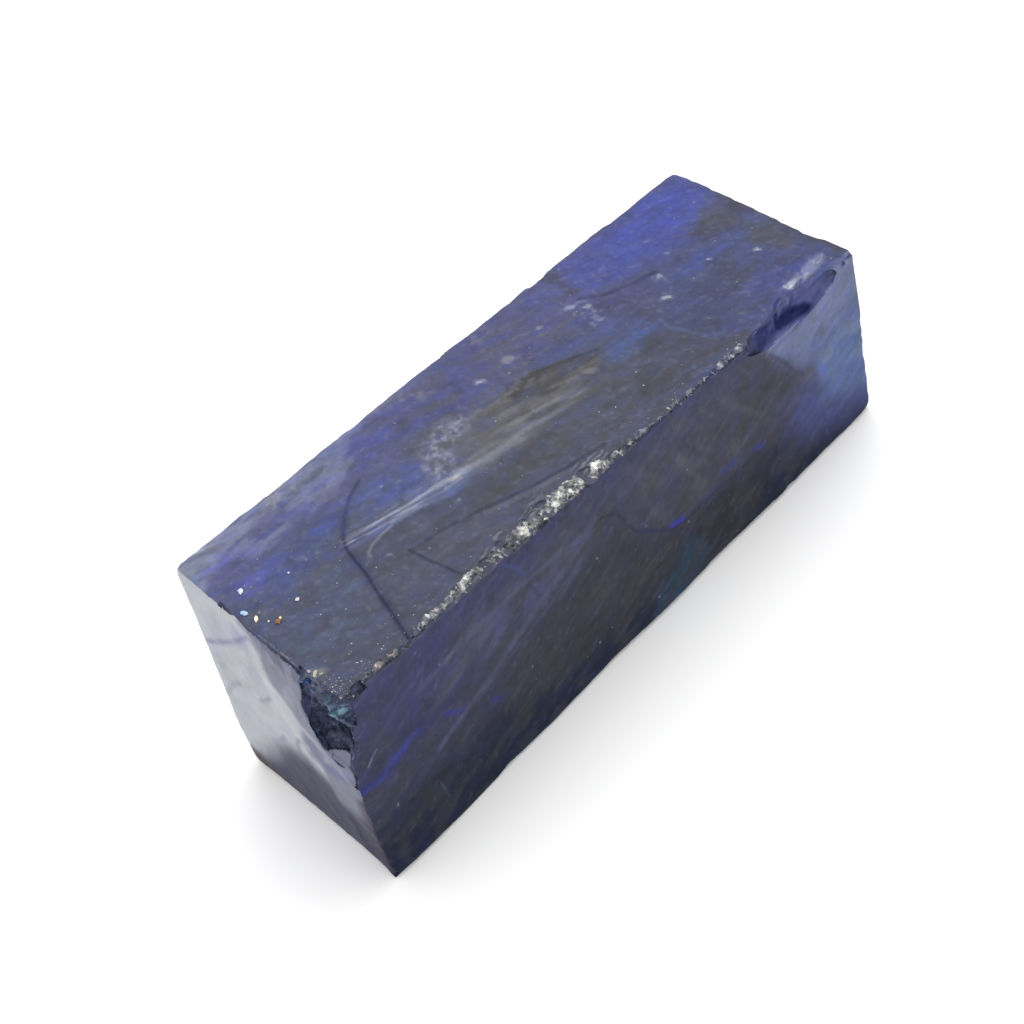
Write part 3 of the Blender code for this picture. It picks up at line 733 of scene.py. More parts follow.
FRONT_PATCHES = named(
    Patch,
    warm_left=((61, 62, 69), 0.8, 1.8, ((-13.0, 9.0), (-8.5, 10.0), (-5.5, 13.6), (-3.0, 14.8),
        (0.2, 8.6), (2.8, 6.6), (4.0, 3.4), (0.4, 2.4), (-9.0, 3.4), (-14.0, 6.2))),
    warm_right=((72, 72, 84), 0.8, 1.3, ((-1.4, 12.0), (-0.6, 9.6), (1.6, 7.6), (5.2, 6.7),
        (9.0, 6.6), (13.0, 6.4), (16.6, 7.0), (19.4, 7.8), (17.6, 10.6), (15.4, 12.6), (13.4, 15.2),
        (6.0, 14.4), (0.4, 14.8))),
    grey_violet_arc=((84, 85, 110), 0.55, 0.9, ((-19.6, 12.4), (-12.0, 13.2), (-6.2, 12.8),
        (-4.4, 12.2), (-9.0, 10.9), (-14.0, 11.0))),
    blue_upper_left=((61, 65, 96), 0.5, 1.2, ((-26, 16), (-17.0, 16.2), (-16.4, 10.2), (-26, 8.8))),
    grey_upper_mid=((74, 75, 87), 0.8, 1.3, ((-8.4, 14.6), (-3.0, 15.2), (-3.0, 11.4),
        (-7.6, 11.0))),
    brown_low=((54, 54, 59), 0.7, 0.8, ((5.2, 5.2), (9.2, 5.6), (13.0, 4.6), (11.6, 0.4),
        (6.8, 0.4), (6.4, 2.6))),
    teal=((50, 66, 84), 0.85, 0.4, ((-0.8, 0.3), (0.3, 1.9), (2.3, 3.2), (3.8, 4.1), (5.2, 3.9),
        (6.0, 2.8), (6.6, 1.8), (5.8, 0.8), (3.0, 0.3))),
    far_glow=((74, 80, 124), 0.8, 1.8, ((15.6, 7.4), (16.4, 3.4), (20.4, 1.6), (27.0, 0.6),
        (27.0, 9.0), (19.6, 9.0))),
    far_light=((98, 107, 141), 0.92, 0.7, ((12.6, 15.9), (14.0, 14.2), (15.3, 12.9), (16.2, 11.9),
        (17.1, 10.5), (18.2, 9.2), (19.0, 8.3), (19.8, 7.2), (21.0, 6.6), (28.0, 6.0), (28.0, 18.0),
        (13.0, 18.0))),
    far_light_low=((94, 108, 148), 0.85, 1.5, ((19.0, 8.4), (20.0, 5.4), (22.0, 3.9), (25.0, 2.4),
        (28.0, 2.0), (28.0, 9.0))),
    far_pale_rim=((118, 125, 154), 0.6, 0.7, ((14.6, 13.9), (18.0, 13.6), (24.9, 16.4),
        (25.6, 12.6), (17.6, 11.8))),
    far_teal=((98, 122, 146), 0.5, 0.6, ((20.5, 8.8), (22.6, 10.0), (24.8, 9.2), (24.9, 6.8),
        (22.2, 6.2), (20.8, 7.2))),
    far_dark_spot=((84, 85, 96), 0.8, 0.3, ((17.4, 9.3), (18.3, 9.2), (19.0, 8.6), (19.5, 7.9),
        (18.9, 7.6), (17.6, 8.4))),
    far_blue_spot=((88, 104, 168), 0.8, 0.35, ((19.4, 8.4), (19.9, 8.6), (20.7, 7.8), (20.5, 7.3),
        (19.7, 7.7))),
)
WHOLE_FRONT = ((-27, 0), (26, 0), (26, 17), (-27, 17))
FRONT_LUMPS = named(
    Lumps,
    violet=((69, 70, 100), 0.3, 1.0, ((-27, 17), (14, 17), (14, 10), (-27, 7)), 0.35, 0.9, 24.0,
        0.08),
    grey=((66, 66, 70), 0.45, 1.0, ((-27, 0), (19, 0), (17, 6), (15, 12), (-27, 15)), 0.35, 0.8,
        20.0, 0.1),
    brush_1=((88, 89, 112), 0.4, 0.8, ((-20, 13.8), (-9, 14.0), (-3.6, 12.8), (-5.0, 10.8),
        (-20, 6.2)), 0.12, 1.0, 17.0, 0.12),
    brush_2=((88, 86, 96), 0.45, 0.8, ((-1, 15), (13, 15), (15, 8), (3, 7.4)), 0.3, 1.1, -50.0,
        0.15),
    dust=((104, 104, 122), 0.22, 1.0, WHOLE_FRONT, 2.4, 2.4, 0.0, 0.5),
    far_streaks=((122, 132, 160), 0.25, 0.8, ((15, 14), (25, 16), (26, 6), (20, 7)), 0.3, 1.0, 20.0,
        0.1),
    far_blue=((84, 98, 146), 0.5, 0.8, ((19, 10), (26, 10), (26, 4), (19, 5)), 0.4, 0.8, -20.0,
        0.05),
)
FRONT_LINES = named(
    Line,
    flash_1=((62, 64, 148), 0.7, 0.5, ((-25.9, 9.2), (-24.9, 9.05), (-24.0, 9.15), (-22.9, 9.45),
        (-22.2, 9.6))),
    flash_2=((66, 66, 152), 0.8, 0.34, ((-22.4, 9.7), (-21.5, 9.9), (-20.9, 9.8))),
    flash_halo=((56, 60, 92), 0.4, 1.2, ((-26.0, 9.7), (-24.0, 9.7), (-21.8, 10.1), (-19.8, 10.3))),
    flash_3=((64, 64, 136), 0.75, 0.36, ((-18.7, 9.25), (-18.1, 8.8), (-17.3, 8.3))),
    flash_4=((60, 62, 122), 0.65, 0.34, ((-15.3, 7.1), (-14.8, 6.7), (-14.2, 6.35))),
    flash_5=((60, 62, 172), 0.95, 0.34, ((3.0, 6.95), (3.6, 6.85), (4.2, 6.7))),
    flash_6=((62, 72, 136), 0.8, 0.38, ((8.5, 7.4), (9.2, 7.2), (10.0, 7.15))),
    flash_7=((60, 68, 128), 0.7, 0.34, ((12.0, 6.8), (12.6, 6.55), (13.2, 6.25))),
    flash_8=((58, 62, 104), 0.5, 0.3, ((5.0, 6.5), (6.4, 6.4), (8.2, 6.5))),
    flash_10=((58, 62, 120), 0.5, 0.2, ((0.3, 8.8), (1.2, 8.0), (2.2, 7.3))),
    outline=((48, 50, 62), 0.4, 0.24, ((-3.6, 12.9), (-2.4, 12.6), (-1.5, 12.0), (-1.0, 10.5),
        (0.0, 9.1), (1.5, 7.8), (3.0, 6.6), (5.0, 6.3), (9.0, 6.1), (12.6, 6.0))),
    far_outline=((62, 64, 84), 0.5, 0.24, ((14.8, 13.4), (16.0, 11.9), (17.0, 10.4), (18.1, 9.1))),
    dark_joint=((56, 58, 78), 0.3, 0.24, ((-9.0, 16.2), (-9.4, 14.4), (-9.8, 12.8), (-9.2, 11.2))),
    blue_joint=((74, 84, 132), 0.5, 0.22, ((-11.2, 15.8), (-10.4, 14.8), (-9.9, 13.7))),
    arc_1=((94, 96, 122), 0.5, 0.3, ((-20.0, 12.8), (-15.0, 13.2), (-10.0, 13.35), (-7.0, 13.1),
        (-4.2, 12.6))),
    arc_2=((88, 90, 116), 0.5, 0.34, ((-20.0, 7.2), (-13.0, 9.5), (-8.0, 11.4), (-4.0, 12.4))),
    arc_3=((86, 88, 112), 0.4, 0.3, ((-15.5, 8.3), (-11.0, 9.3), (-7.0, 10.6))),
    arc_4=((84, 86, 112), 0.35, 0.4, ((-4.0, 13.0), (0.6, 13.1), (3.2, 12.7))),
    scratch=((122, 124, 148), 0.75, 0.13, ((-25.0, 10.7), (-24.6, 11.1), (-24.1, 11.5))),
    low_scratch=((86, 90, 106), 0.55, 0.12, ((-20.7, 4.6), (-20.6, 3.8), (-20.4, 2.7))),
    # Painted highlight along the rim of the far hollow.
    far_rim=((130, 138, 170), 0.55, 0.2, ((14.9, 13.95), (16.2, 13.85), (17.6, 13.9), (19.0, 14.0),
        (20.6, 14.3), (22.3, 14.8), (24.1, 15.2))),
    far_ripple_1=((124, 134, 164), 0.4, 0.24, ((19.2, 12.6), (21.2, 12.0), (23.0, 11.9))),
    far_ripple_2=((90, 104, 142), 0.45, 0.3, ((19.4, 10.8), (21.6, 10.3), (23.8, 10.6))),
)
FRONT_SPOTS = listed(
    Spot,
    ((128, 128, 150), 0.8, 0.14, (-24.0, 6.1)), ((104, 106, 140), 0.6, 0.16, (-19.3, 15.6)),
    ((104, 90, 88), 0.6, 0.18, (-4.2, 16.0)), ((96, 98, 130), 0.5, 0.14, (-20.1, 14.4)),
    ((110, 112, 140), 0.7, 0.1, (-18.9, 12.0)), ((110, 112, 140), 0.7, 0.1, (-17.9, 11.4)),
    ((88, 84, 92), 0.5, 0.3, (8.4, 10.8)),
)
# On the near end the pale colours are partly its own frosted colour and partly a painted reflection
# of the white floor.
NEAR_PATCHES = named(
    Patch,
    grey_upper_left=((132, 134, 150), 0.85, 0.6, ((0.9, 18), (0.6, 15.2), (0.2, 13.0), (-0.9, 12.0),
        (-2.4, 11.2), (-9, 9), (-9, 18))),
    grey_top=((122, 123, 138), 0.7, 0.5, ((-4.6, 17.4), (1.6, 17.4), (1.0, 15.8), (-4.2, 15.6))),
    # Painted reflection of the shaded floor by the base: the lower part of the end is darker.
    dark_low=((100, 100, 115), 0.97, 1.3, ((8.6, 0.2), (6.0, 1.6), (4.4, 2.9), (2.6, 4.3),
        (0.9, 5.6), (-0.8, 6.4), (-3.6, 6.2), (-4.3, 4.8), (-7.6, 3.6), (-10, 3.2), (-10, -2),
        (8.6, -2))),
    violet_mid=((130, 130, 154), 0.85, 0.5, ((-4.8, 10.2), (-2.4, 10.6), (-1.2, 8.6), (-2.0, 7.4),
        (-3.8, 7.6))),
    front_facet=((138, 139, 154), 0.9, 0.4, ((-9, 11.4), (-6.2, 11.6), (-3.5, 7.8), (-3.5, 6.2),
        (-4.4, 4.8), (-9, 4.6))),
    front_low=((84, 84, 100), 0.7, 0.7, ((-9, 5.6), (-6.6, 5.6), (-4.6, 4.6), (-4.6, 0), (-9, 0))),
    front_facet_blue=((124, 128, 166), 0.7, 0.4, ((-7.0, 10.2), (-5.2, 9.6), (-3.6, 8.2),
        (-4.4, 7.8), (-6.8, 9.0))),
    chip_facet=((156, 156, 176), 0.85, 0.25, ((-4.9, 10.6), (-6.0, 11.1), (-6.8, 11.1),
        (-7.4, 10.2), (-6.6, 9.4), (-5.4, 9.6))),
    front_strip=((92, 86, 96), 0.6, 0.4, ((-9, 9.0), (-7.2, 8.2), (-6.9, 5.0), (-7.3, 1.0),
        (-9, 1.0))),
    top_violet=((168, 168, 196), 0.6, 0.5, ((1.6, 16.8), (1.2, 15.6), (2.0, 14.6), (3.2, 14.0),
        (3.4, 15.2), (2.6, 16.6))),
    base_brown=((96, 88, 84), 0.6, 0.5, ((3.0, 1.0), (7.6, 2.2), (8.4, -1.0), (3.0, -1.0))),
)
NEAR_LUMPS = named(
    Lumps,
    # The lavender and grey lumps are partly the end's own pale colour and partly a painted
    # reflection of the white floor.
    lavender=((178, 178, 202), 0.35, 0.8, ((-4, 17), (9, 18), (9, 3), (0, 6)), 0.45, 0.5, 35.0,
        0.1),
    grey=((176, 178, 182), 0.3, 0.8, ((-3, 16), (8, 16), (8, 5), (0, 6)), 0.6, 0.6, -40.0, 0.12),
    shade=((80, 80, 98), 0.14, 0.8, ((-8, 5), (7, 3), (7, 0), (-8, 0)), 0.5, 0.8, 20.0, 0.05),
)
NEAR_LINES = named(
    Line,
    # Painted highlight along the ridge of the near end.
    ridge=((206, 208, 212), 0.6, 0.8, ((1.4, 16.4), (0.8, 14.0), (0.2, 11.6), (-0.6, 9.6),
        (-1.8, 8.4))),
    crack_1=((136, 134, 166), 0.7, 0.3, ((1.3, 16.2), (2.4, 15.2), (4.0, 14.0), (5.4, 13.0),
        (7.0, 12.1))),
    crack_2=((146, 146, 158), 0.7, 0.26, ((0.9, 10.9), (1.5, 10.3), (2.4, 9.6))),
    crack_3=((140, 140, 154), 0.7, 0.3, ((-1.0, 8.2), (-0.5, 7.4), (-0.5, 6.4), (-0.2, 5.8))),
    crack_4=((148, 148, 160), 0.55, 0.3, ((1.0, 7.0), (1.6, 6.2))),
    crack_5=((132, 132, 146), 0.6, 0.24, ((-1.3, 15.4), (-0.4, 14.6), (0.4, 14.0))),
    crack_6=((152, 152, 166), 0.55, 0.3, ((4.4, 9.8), (5.4, 9.0), (6.6, 7.4))),
    crack_7=((150, 148, 170), 0.5, 0.24, ((5.6, 10.9), (6.2, 10.3))),
)
CHIP_PATCHES = named(
    Patch,
    blue_left=((60, 76, 112), 0.9, 0.3, ((-4.0, 16.5), (-5.2, 16.5), (-5.2, 15.2), (-4.2, 15.2))),
    grey_mid=((64, 71, 92), 0.9, 0.4, ((-4.2, 15.2), (-5.2, 15.2), (-5.2, 14.2), (-4.2, 14.2))),
    pale_left=((98, 102, 126), 0.9, 0.3, ((-3.3, 14.8), (-4.1, 14.8), (-4.15, 13.5), (-3.3, 13.3))),
    # Painted shade in the recess of the chip, under its overhanging top, darkest deep inside.
    dark=((46, 53, 73), 0.9, 0.3, ((-4.1, 13.8), (-7.2, 14.6), (-7.4, 12.4), (-4.1, 12.4))),
    deep=((28, 36, 56), 0.95, 0.35, ((-4.65, 13.0), (-7.3, 13.8), (-7.5, 11.8), (-4.65, 11.7))),
    grey_low=((60, 65, 84), 0.9, 0.3, ((-3.3, 11.7), (-5.0, 11.6), (-7.2, 11.7), (-7.2, 9.4),
        (-3.3, 9.4))),
    teal=((78, 94, 118), 0.95, 0.3, ((-6.9, 16.6), (-8.0, 16.4), (-7.9, 15.0), (-7.2, 15.0),
        (-6.9, 15.6))),
    front_strip=((64, 68, 90), 0.9, 0.25, ((-7.65, 15.1), (-8.5, 16.4), (-8.5, 9.0), (-7.2, 9.0),
        (-7.3, 13.4))),
    lip=((98, 102, 118), 0.8, 0.22, ((-4.4, 17.4), (-7.3, 17.4), (-7.3, 16.85), (-4.6, 16.65))),
)
CHIP_LUMPS = named(
    Lumps,
    # Teal crystals: partly their own teal colour and partly painted highlights on the chip's
    # facets.
    teal_crystals=((118, 156, 176), 0.85, 0.25, ((-6.9, 16.6), (-8.0, 16.4), (-7.9, 15.2),
        (-7.2, 15.2)), 2.4, 2.6, 0.0, 0.1),
    blue_crystals=((84, 108, 156), 0.7, 0.25, ((-4.2, 16.6), (-5.2, 16.6), (-5.2, 15.2),
        (-4.2, 15.2)), 2.4, 2.6, 0.0, 0.15),
    grey_crystals=((96, 100, 122), 0.5, 0.4, ((-3.3, 15.2), (-8.2, 15.2), (-8.2, 9.4), (-3.3, 9.4)),
        2.2, 2.6, 0.0, 0.25),
)
HOLLOW_PATCHES = named(
    Patch,
    left_blue=((46, 53, 98), 0.85, 0.3, ((14.2, 0.6), (14.6, 2.4), (16.2, 2.3), (16.6, 1.6),
        (16.4, 0.7), (15.0, 0.4))),
    plate=((98, 104, 136), 0.85, 0.22, ((17.0, 2.1), (17.6, 1.9), (18.2, 1.8), (18.4, 2.4),
        (18.0, 2.9), (17.2, 2.9))),
    violet=((90, 93, 137), 0.8, 0.4, ((18.4, 1.9), (19.4, 1.3), (20.4, 0.9), (21.4, 1.2),
        (21.2, 2.4), (20.0, 2.9), (18.8, 2.8))),
    far_grey=((88, 98, 140), 0.85, 0.4, ((21.0, 0.5), (25.0, 0.3), (25.0, 3.4), (21.4, 3.2))),
    far_mottled=((100, 110, 146), 0.6, 0.3, ((22.4, 1.6), (25.0, 1.2), (25.0, 3.4), (22.6, 3.2))),
    lower_strip=((90, 97, 142), 0.85, 0.2, ((13.6, 0.3), (16.0, 0.4), (17.2, 0.6), (18.6, 0.2),
        (20.4, 0.3), (20.4, -0.6), (13.6, -0.6))),
    # Painted light: lighter paint that offsets the shade falling in this dell of the hollow.
    far_bowl=((136, 146, 178), 0.85, 0.3, ((22.0, 1.0), (23.2, 1.05), (23.4, 1.7), (22.4, 1.7))),
    near_dark=((44, 48, 64), 0.8, 0.4, ((12.4, -0.5), (14.1, 0.3), (14.2, 3.4), (12.4, 3.4))),
)
HOLLOW_LINES = named(
    Line,
    pocket_low=((26, 35, 76), 0.97, 0.85, ((16.9, 1.05), (18.2, 0.95), (19.35, 0.6))),
    pocket_high=((26, 35, 76), 0.95, 0.5, ((17.4, 1.45), (18.0, 1.4), (18.7, 1.1))),
    plate_edge=((30, 35, 80), 0.85, 0.34, ((16.5, 1.0), (16.7, 1.7), (16.9, 2.2), (17.2, 2.8))),
    plate_foot=((40, 46, 96), 0.6, 0.3, ((17.6, 1.85), (18.3, 1.8), (18.7, 2.3), (18.5, 2.9))),
)
HOLLOW_LUMPS = named(
    Lumps,
    mottle=((100, 107, 148), 0.45, 0.4, ((12.8, 0.2), (25.0, 0.2), (25.0, 3.4), (12.8, 3.4)), 1.1,
        1.4, 20.0, 0.15),
    dark_mottle=((62, 67, 112), 0.35, 0.4, ((12.8, 0.2), (21.0, 0.2), (21.0, 3.4), (12.8, 3.4)),
        1.0, 1.5, -30.0, 0.15),
)
# Mostly painted glints on facets of the crushed arris that catch the light; a few are tinted
# crystals.
FLAKE_SPOTS = listed(
    Spot,
    ((250, 250, 240), 1.0, 0.40, (-8.6, -7.2)), ((250, 250, 244), 1.0, 0.26, (-5.75, -7.2)),
    ((240, 240, 232), 0.95, 0.26, (-5.0, -7.05)), ((255, 255, 250), 1.0, 0.34, (-1.8, -7.2)),
    ((226, 226, 220), 0.9, 0.3, (-3.4, -7.25)), ((204, 206, 200), 0.8, 0.3, (-3.85, -6.9)),
    ((206, 206, 200), 0.8, 0.3, (-6.4, -7.2)), ((200, 204, 196), 0.8, 0.26, (-11.0, -7.5)),
    ((206, 206, 200), 0.8, 0.34, (-12.0, -7.45)), ((226, 226, 224), 0.9, 0.34, (-13.7, -7.2)),
    ((226, 226, 224), 0.9, 0.3, (-14.4, -7.3)), ((190, 192, 180), 0.7, 0.24, (-16.2, -7.6)),
    ((224, 224, 222), 0.9, 0.24, (-17.4, -7.45)), ((196, 184, 184), 0.8, 0.22, (-16.9, -7.4)),
    ((196, 200, 206), 0.8, 0.2, (-19.1, -7.95)), ((176, 162, 158), 0.8, 0.2, (-20.8, -7.7)),
    ((196, 176, 170), 0.8, 0.22, (-21.9, -7.7)), ((196, 200, 210), 0.8, 0.26, (-0.2, -7.3)),
    ((186, 192, 206), 0.7, 0.26, (2.3, -7.5)), ((180, 184, 196), 0.7, 0.2, (4.0, -7.75)),
    ((190, 192, 196), 0.7, 0.24, (7.0, -7.85)), ((204, 204, 206), 0.8, 0.26, (10.2, -7.75)),
    ((214, 214, 214), 0.8, 0.26, (12.1, -7.6)),
)
# What is added to the height of a place in the hollow with its y, so that the sum is its
# distance up from the lower rim.
HOLLOW_RISE = -5.7
# How far a painted border wanders, and how often it turns: patches, lines and spots.
PATCH_WARP = (0.55, 0.42)
LINE_WARP = (0.09, 0.5)
TOP_SPOT_WARP = (0.28, 2.2)
FRONT_SPOT_WARP = (0.2, 2.2)
FLAKE_SPOT_WARP = (0.25, 2.2)
# The colour of the front under its patches, from the base up, as (height, colour).
FRONT_RAMP = (
    (0.0, (40, 43, 59)), (1.0, (43, 46, 62)), (3.0, (45, 48, 62)), (5.0, (52, 54, 68)),
    (7.0, (63, 65, 81)), (10.0, (66, 68, 87)), (13.0, (72, 74, 95)), (17.0, (67, 70, 94)),
)
# How the three coordinates of a place on a hidden face become two.
UNFOLDED = ((1.0, 0.0), (0.35, 0.8), (0.1, 0.9))
# The Y of the front top arris along X, where the painted shadow under the flakes lies.
ARRIS_LINE_X = (-25, -8, 0, 14)
ARRIS_LINE_Y = (-7.95, -7.8, -7.95, -8.17)


def distance_to_path(p, path):
    """The distance of each point to a path of straight pieces."""
    best = np.full(len(p), np.inf)
    for a, b in zip(path[:-1], path[1:]):
        along = b - a
        t = np.clip(((p - a) @ along) / (along @ along), 0.0, 1.0)
        best = np.minimum(best, np.linalg.norm(p - a - t[:, None] * along, axis=1))
    return best


def inside(p, outline):
    """Whether each point lies inside a closed outline."""
    result = np.zeros(len(p), bool)
    for a, b in zip(outline, np.roll(outline, -1, axis=0)):
        crosses = (a[1] > p[:, 1]) != (b[1] > p[:, 1])
        slope = (b[0] - a[0]) / (b[1] - a[1] + 1e-12)
        result ^= crosses & (p[:, 0] < a[0] + slope * (p[:, 1] - a[1]))
    return result


def turned(p, degrees):
    """How far each place lies along a turned direction, and how far across it."""
    c, s = math.cos(math.radians(degrees)), math.sin(math.radians(degrees))
    return p[:, 0] * c + p[:, 1] * s, -p[:, 0] * s + p[:, 1] * c


def warped(p, warp, seed):
    """The places moved a little, so that what is painted there has uneven borders."""
    amount, scale = warp
    moves = [noise.noise_vector(Vector((a * scale, b * scale, seed))) for a, b in p]
    fine = [noise.noise_vector(Vector((a * scale * 4, b * scale * 4, seed))) for a, b in p]
    return p + np.array(moves)[:, :2] * amount + np.array(fine)[:, :2] * amount * 0.25


def field(p, scale_x, scale_y, turn, seed, octaves=3):
    """Uneven noise over a face, about -1 to 1, stretched along a turned direction."""
    u, v = turned(p, turn)
    places = zip(u * scale_x, v * scale_y)
    return np.array([noise.fractal(Vector((a, b, seed)), 1.0, 2.0, octaves) for a, b in places])


def patch_mask(p, patch):
    """The strength of a patch inside it, 0 outside it, with a soft border."""
    outline = rows(patch.outline)
    distance = distance_to_path(p, np.vstack([outline, outline[:1]]))
    signed = np.where(inside(p, outline), distance, -distance)
    return smooth_step(-patch.soft, patch.soft, signed) * patch.strength


def line_mask(p, line):
    """The strength of a line on it, and 0 its width away from it."""
    distance = distance_to_path(p, rows(line.path))
    return smooth_step(line.width, line.width * 0.25, distance) * line.strength


def lumps_mask(p, lumps, seed):
    """Uneven spots within an outline."""
    mask = patch_mask(p, lumps)
    shown = np.nonzero(mask > 0.0)[0]
    if len(shown):
        noisy = field(p[shown], lumps.along, lumps.across, lumps.turn, seed, 2)
        mask[shown] *= smooth_step(lumps.sparse - 0.12, lumps.sparse + 0.16, noisy)
    return mask


def painted(p, base, patches, lumps, lines, seed):
    """The colour at each place: the base, then the patches, the lumps and the lines."""
    colour = np.broadcast_to(rows(base), (len(p), 3))
    moved = warped(p, PATCH_WARP, seed)
    for patch in patches.values():
        colour = mix(colour, rows(patch.colour), patch_mask(moved, patch))
    for i, lump in enumerate(lumps.values()):
        colour = mix(colour, rows(lump.colour), lumps_mask(p, lump, seed + 0.7 * i))
    near = warped(p, LINE_WARP, seed + 3.0)
    faint = 0.82 + 0.4 * field(p, 0.9, 0.9, 0.0, seed + 5.0, 2)
    for line in lines.values():
        colour = mix(colour, rows(line.colour), np.clip(line_mask(near, line) * faint, 0.0, 1.0))
    return colour


def spotted(colour, p, spots, turn=0.0, stretch=1.0):
    """The colour with small spots on it, which are stretched along a turned direction."""
    for spot in spots:
        along, across = turned(p - rows(spot.place), turn)
        distance = np.hypot(along / stretch, across * stretch)
        share = smooth_step(spot.radius * 1.45, spot.radius * 0.35, distance)
        colour = mix(colour, rows(spot.colour), share * spot.strength)
    return colour


def tinged(colour, factors, share, strength=1.0, added=0.0):
    """The colour times the factors, where the share is above 0."""
    return mix(colour, colour * rows(factors) + added, np.clip(share, 0.0, 1.0) * strength)


def ripple_paint(colour, points):
    """The colour with the ripples of the break by the arris: greyer, with painted highlight on the
    ridges and painted shade between them.
    """
    shares = rippled(points)
    shown = zip(points, shares)
    ridges = np.array([ripple(Vector(point)) if share > 0 else 0.0 for point, share in shown])
    colour = mix(colour, rows((104, 105, 112)), shares * 0.35)
    # Painted highlight on the ridges and painted shade in the troughs, following the ripples'
    # relief.
    colour = mix(colour, rows((152, 154, 158)), shares * smooth_step(0.45, 1.0, ridges) * 0.55)
    return mix(colour, rows((66, 68, 78)), shares * smooth_step(0.35, 0.0, ridges) * 0.35)


def top_paint(points):
    """The colour of the top at each point."""
    p = points[:, :2]
    colour = painted(p, (89, 92, 108), TOP_PATCHES, TOP_LUMPS, TOP_LINES, 11.0)
    streaks = field(p, 0.45, 1.9, -9.0, 3.0)
    mottle = field(p, 0.9, 1.3, -25.0, 8.0)
    colour = tinged(colour, (1.06, 1.06, 1.09), streaks, 0.9, added=3)
    colour = tinged(colour, (0.92, 0.92, 0.89), mottle)
    colour = tinged(colour, (0.95, 0.98, 1.08), -mottle, 0.8)
    colour = ripple_paint(colour, points)
    return spotted(colour, warped(p, TOP_SPOT_WARP, 61.0), TOP_SPOTS, turn=-39.0, stretch=1.35)


def front_paint(points):
    """The colour of the front at each point."""
    p = points[:, ::2]
    heights, ramp = zip(*FRONT_RAMP)
    ramp = rows(ramp)
    base = np.stack([np.interp(p[:, 1], heights, ramp[:, i]) for i in range(3)], axis=1)
    colour = painted(p, base, FRONT_PATCHES, FRONT_LUMPS, FRONT_LINES, 23.0)
    streaks = field(p, 0.3, 1.7, 22.0, 5.0)
    mottle = field(p, 0.8, 0.9, 0.0, 14.0)
    colour = tinged(colour, (1.10, 1.10, 1.10), streaks, added=2)
    colour = tinged(colour, (0.93, 0.93, 0.88), mottle)
    colour = tinged(colour, (0.96, 0.97, 1.06), -mottle)
    return spotted(colour, warped(p, FRONT_SPOT_WARP, 67.0), FRONT_SPOTS)


def near_paint(points):
    """The colour of the near end at each point. Its pale base and lumps are partly the end's own
    frosted colour and partly a painted reflection of the white floor.
    """
    p = points[:, 1:]
    colour = painted(p, (197, 199, 206), NEAR_PATCHES, NEAR_LUMPS, NEAR_LINES, 31.0)
    return tinged(colour, (0.96, 0.96, 0.97), field(p, 0.55, 0.55, 30.0, 17.0))


def hidden_paint(points):
    """The colour of the faces that are turned away: the same stone, with patches of its own."""
    p = points @ rows(UNFOLDED)
    flashes = smooth_step(0.05, 0.55, field(p, 0.12, 0.22, 12.0, 41.0))
    warm = smooth_step(0.05, 0.5, field(p, 0.16, 0.3, -20.0, 47.0))
    pale = smooth_step(0.25, 0.7, field(p, 0.3, 1.2, 14.0, 53.0))
    colour = np.broadcast_to(rows((80, 83, 104)), (len(p), 3))
    colour = mix(colour, rows((76, 82, 150)), flashes * 0.8)
    colour = mix(colour, rows((84, 83, 88)), warm * 0.7)
    return mix(colour, rows((112, 119, 152)), pale * 0.35)


def corner_paint(points):
    """The colour of the near corner chip at each point, with painted shade in its recess."""
    colour = painted(points[:, 1:], (58, 64, 86), CHIP_PATCHES, CHIP_LUMPS, {}, 83.0)
    beside_front = smooth_step(-25.0, -24.6, points[:, 0]) * smooth_step(15.6, 16.0, points[:, 2])
    beside_front *= smooth_step(-6.4, -7.0, points[:, 1])
    return mix(colour, rows((62, 64, 84)), beside_front * 0.9)


def hollow_paint(points):
    """The colour of the far hollow at each point."""
    p = np.stack([points[:, 0], points[:, 1] + points[:, 2] + HOLLOW_RISE], axis=1)
    return painted(p, (87, 92, 138), HOLLOW_PATCHES, HOLLOW_LUMPS, HOLLOW_LINES, 91.0)


def flakes_paint(points):
    """The colour of the battered arris at each point: grey, with white crystals, painted glints,
    painted shade between the crystals and a painted shadow below them.
    """
    p = points[:, :2]
    crushed = smooth_step(-15.8, -13.4, p[:, 0]) * smooth_step(0.8, -1.2, p[:, 0])
    colour = mix(top_paint(points), rows((112, 114, 119)), 0.3 + 0.5 * crushed)
    unrolled = np.stack([p[:, 0], p[:, 1] - points[:, 2]], axis=1)
    grey = field(unrolled, 1.5, 2.1, 20.0, 71.0, 2)
    white = field(unrolled, 2.4, 3.2, -15.0, 77.0, 2)
    for tint, share in (
        ((152, 154, 152), smooth_step(0.0, 0.3, grey) * (0.45 + 0.35 * crushed)),
        ((222, 222, 216), smooth_step(0.28, 0.45, white) * (0.55 + 0.35 * crushed)),
        # Painted shade in the gaps between the crystals.
        ((72, 74, 84), smooth_step(-0.15, -0.45, grey) * 0.5),
    ):
        colour = mix(colour, rows(tint), share)
    colour = spotted(colour, warped(p, FLAKE_SPOT_WARP, 61.0), FLAKE_SPOTS)
    # Painted shadow of the flakes: dark along the front top arris below them.
    edge_y = np.interp(p[:, 0], ARRIS_LINE_X, ARRIS_LINE_Y)
    under = smooth_step(0.14, 0.0, p[:, 1] - edge_y + uneven(p[:, 0], 2.2, 3.0, 0.2))
    return mix(colour, rows((46, 48, 62)), under * 0.8)


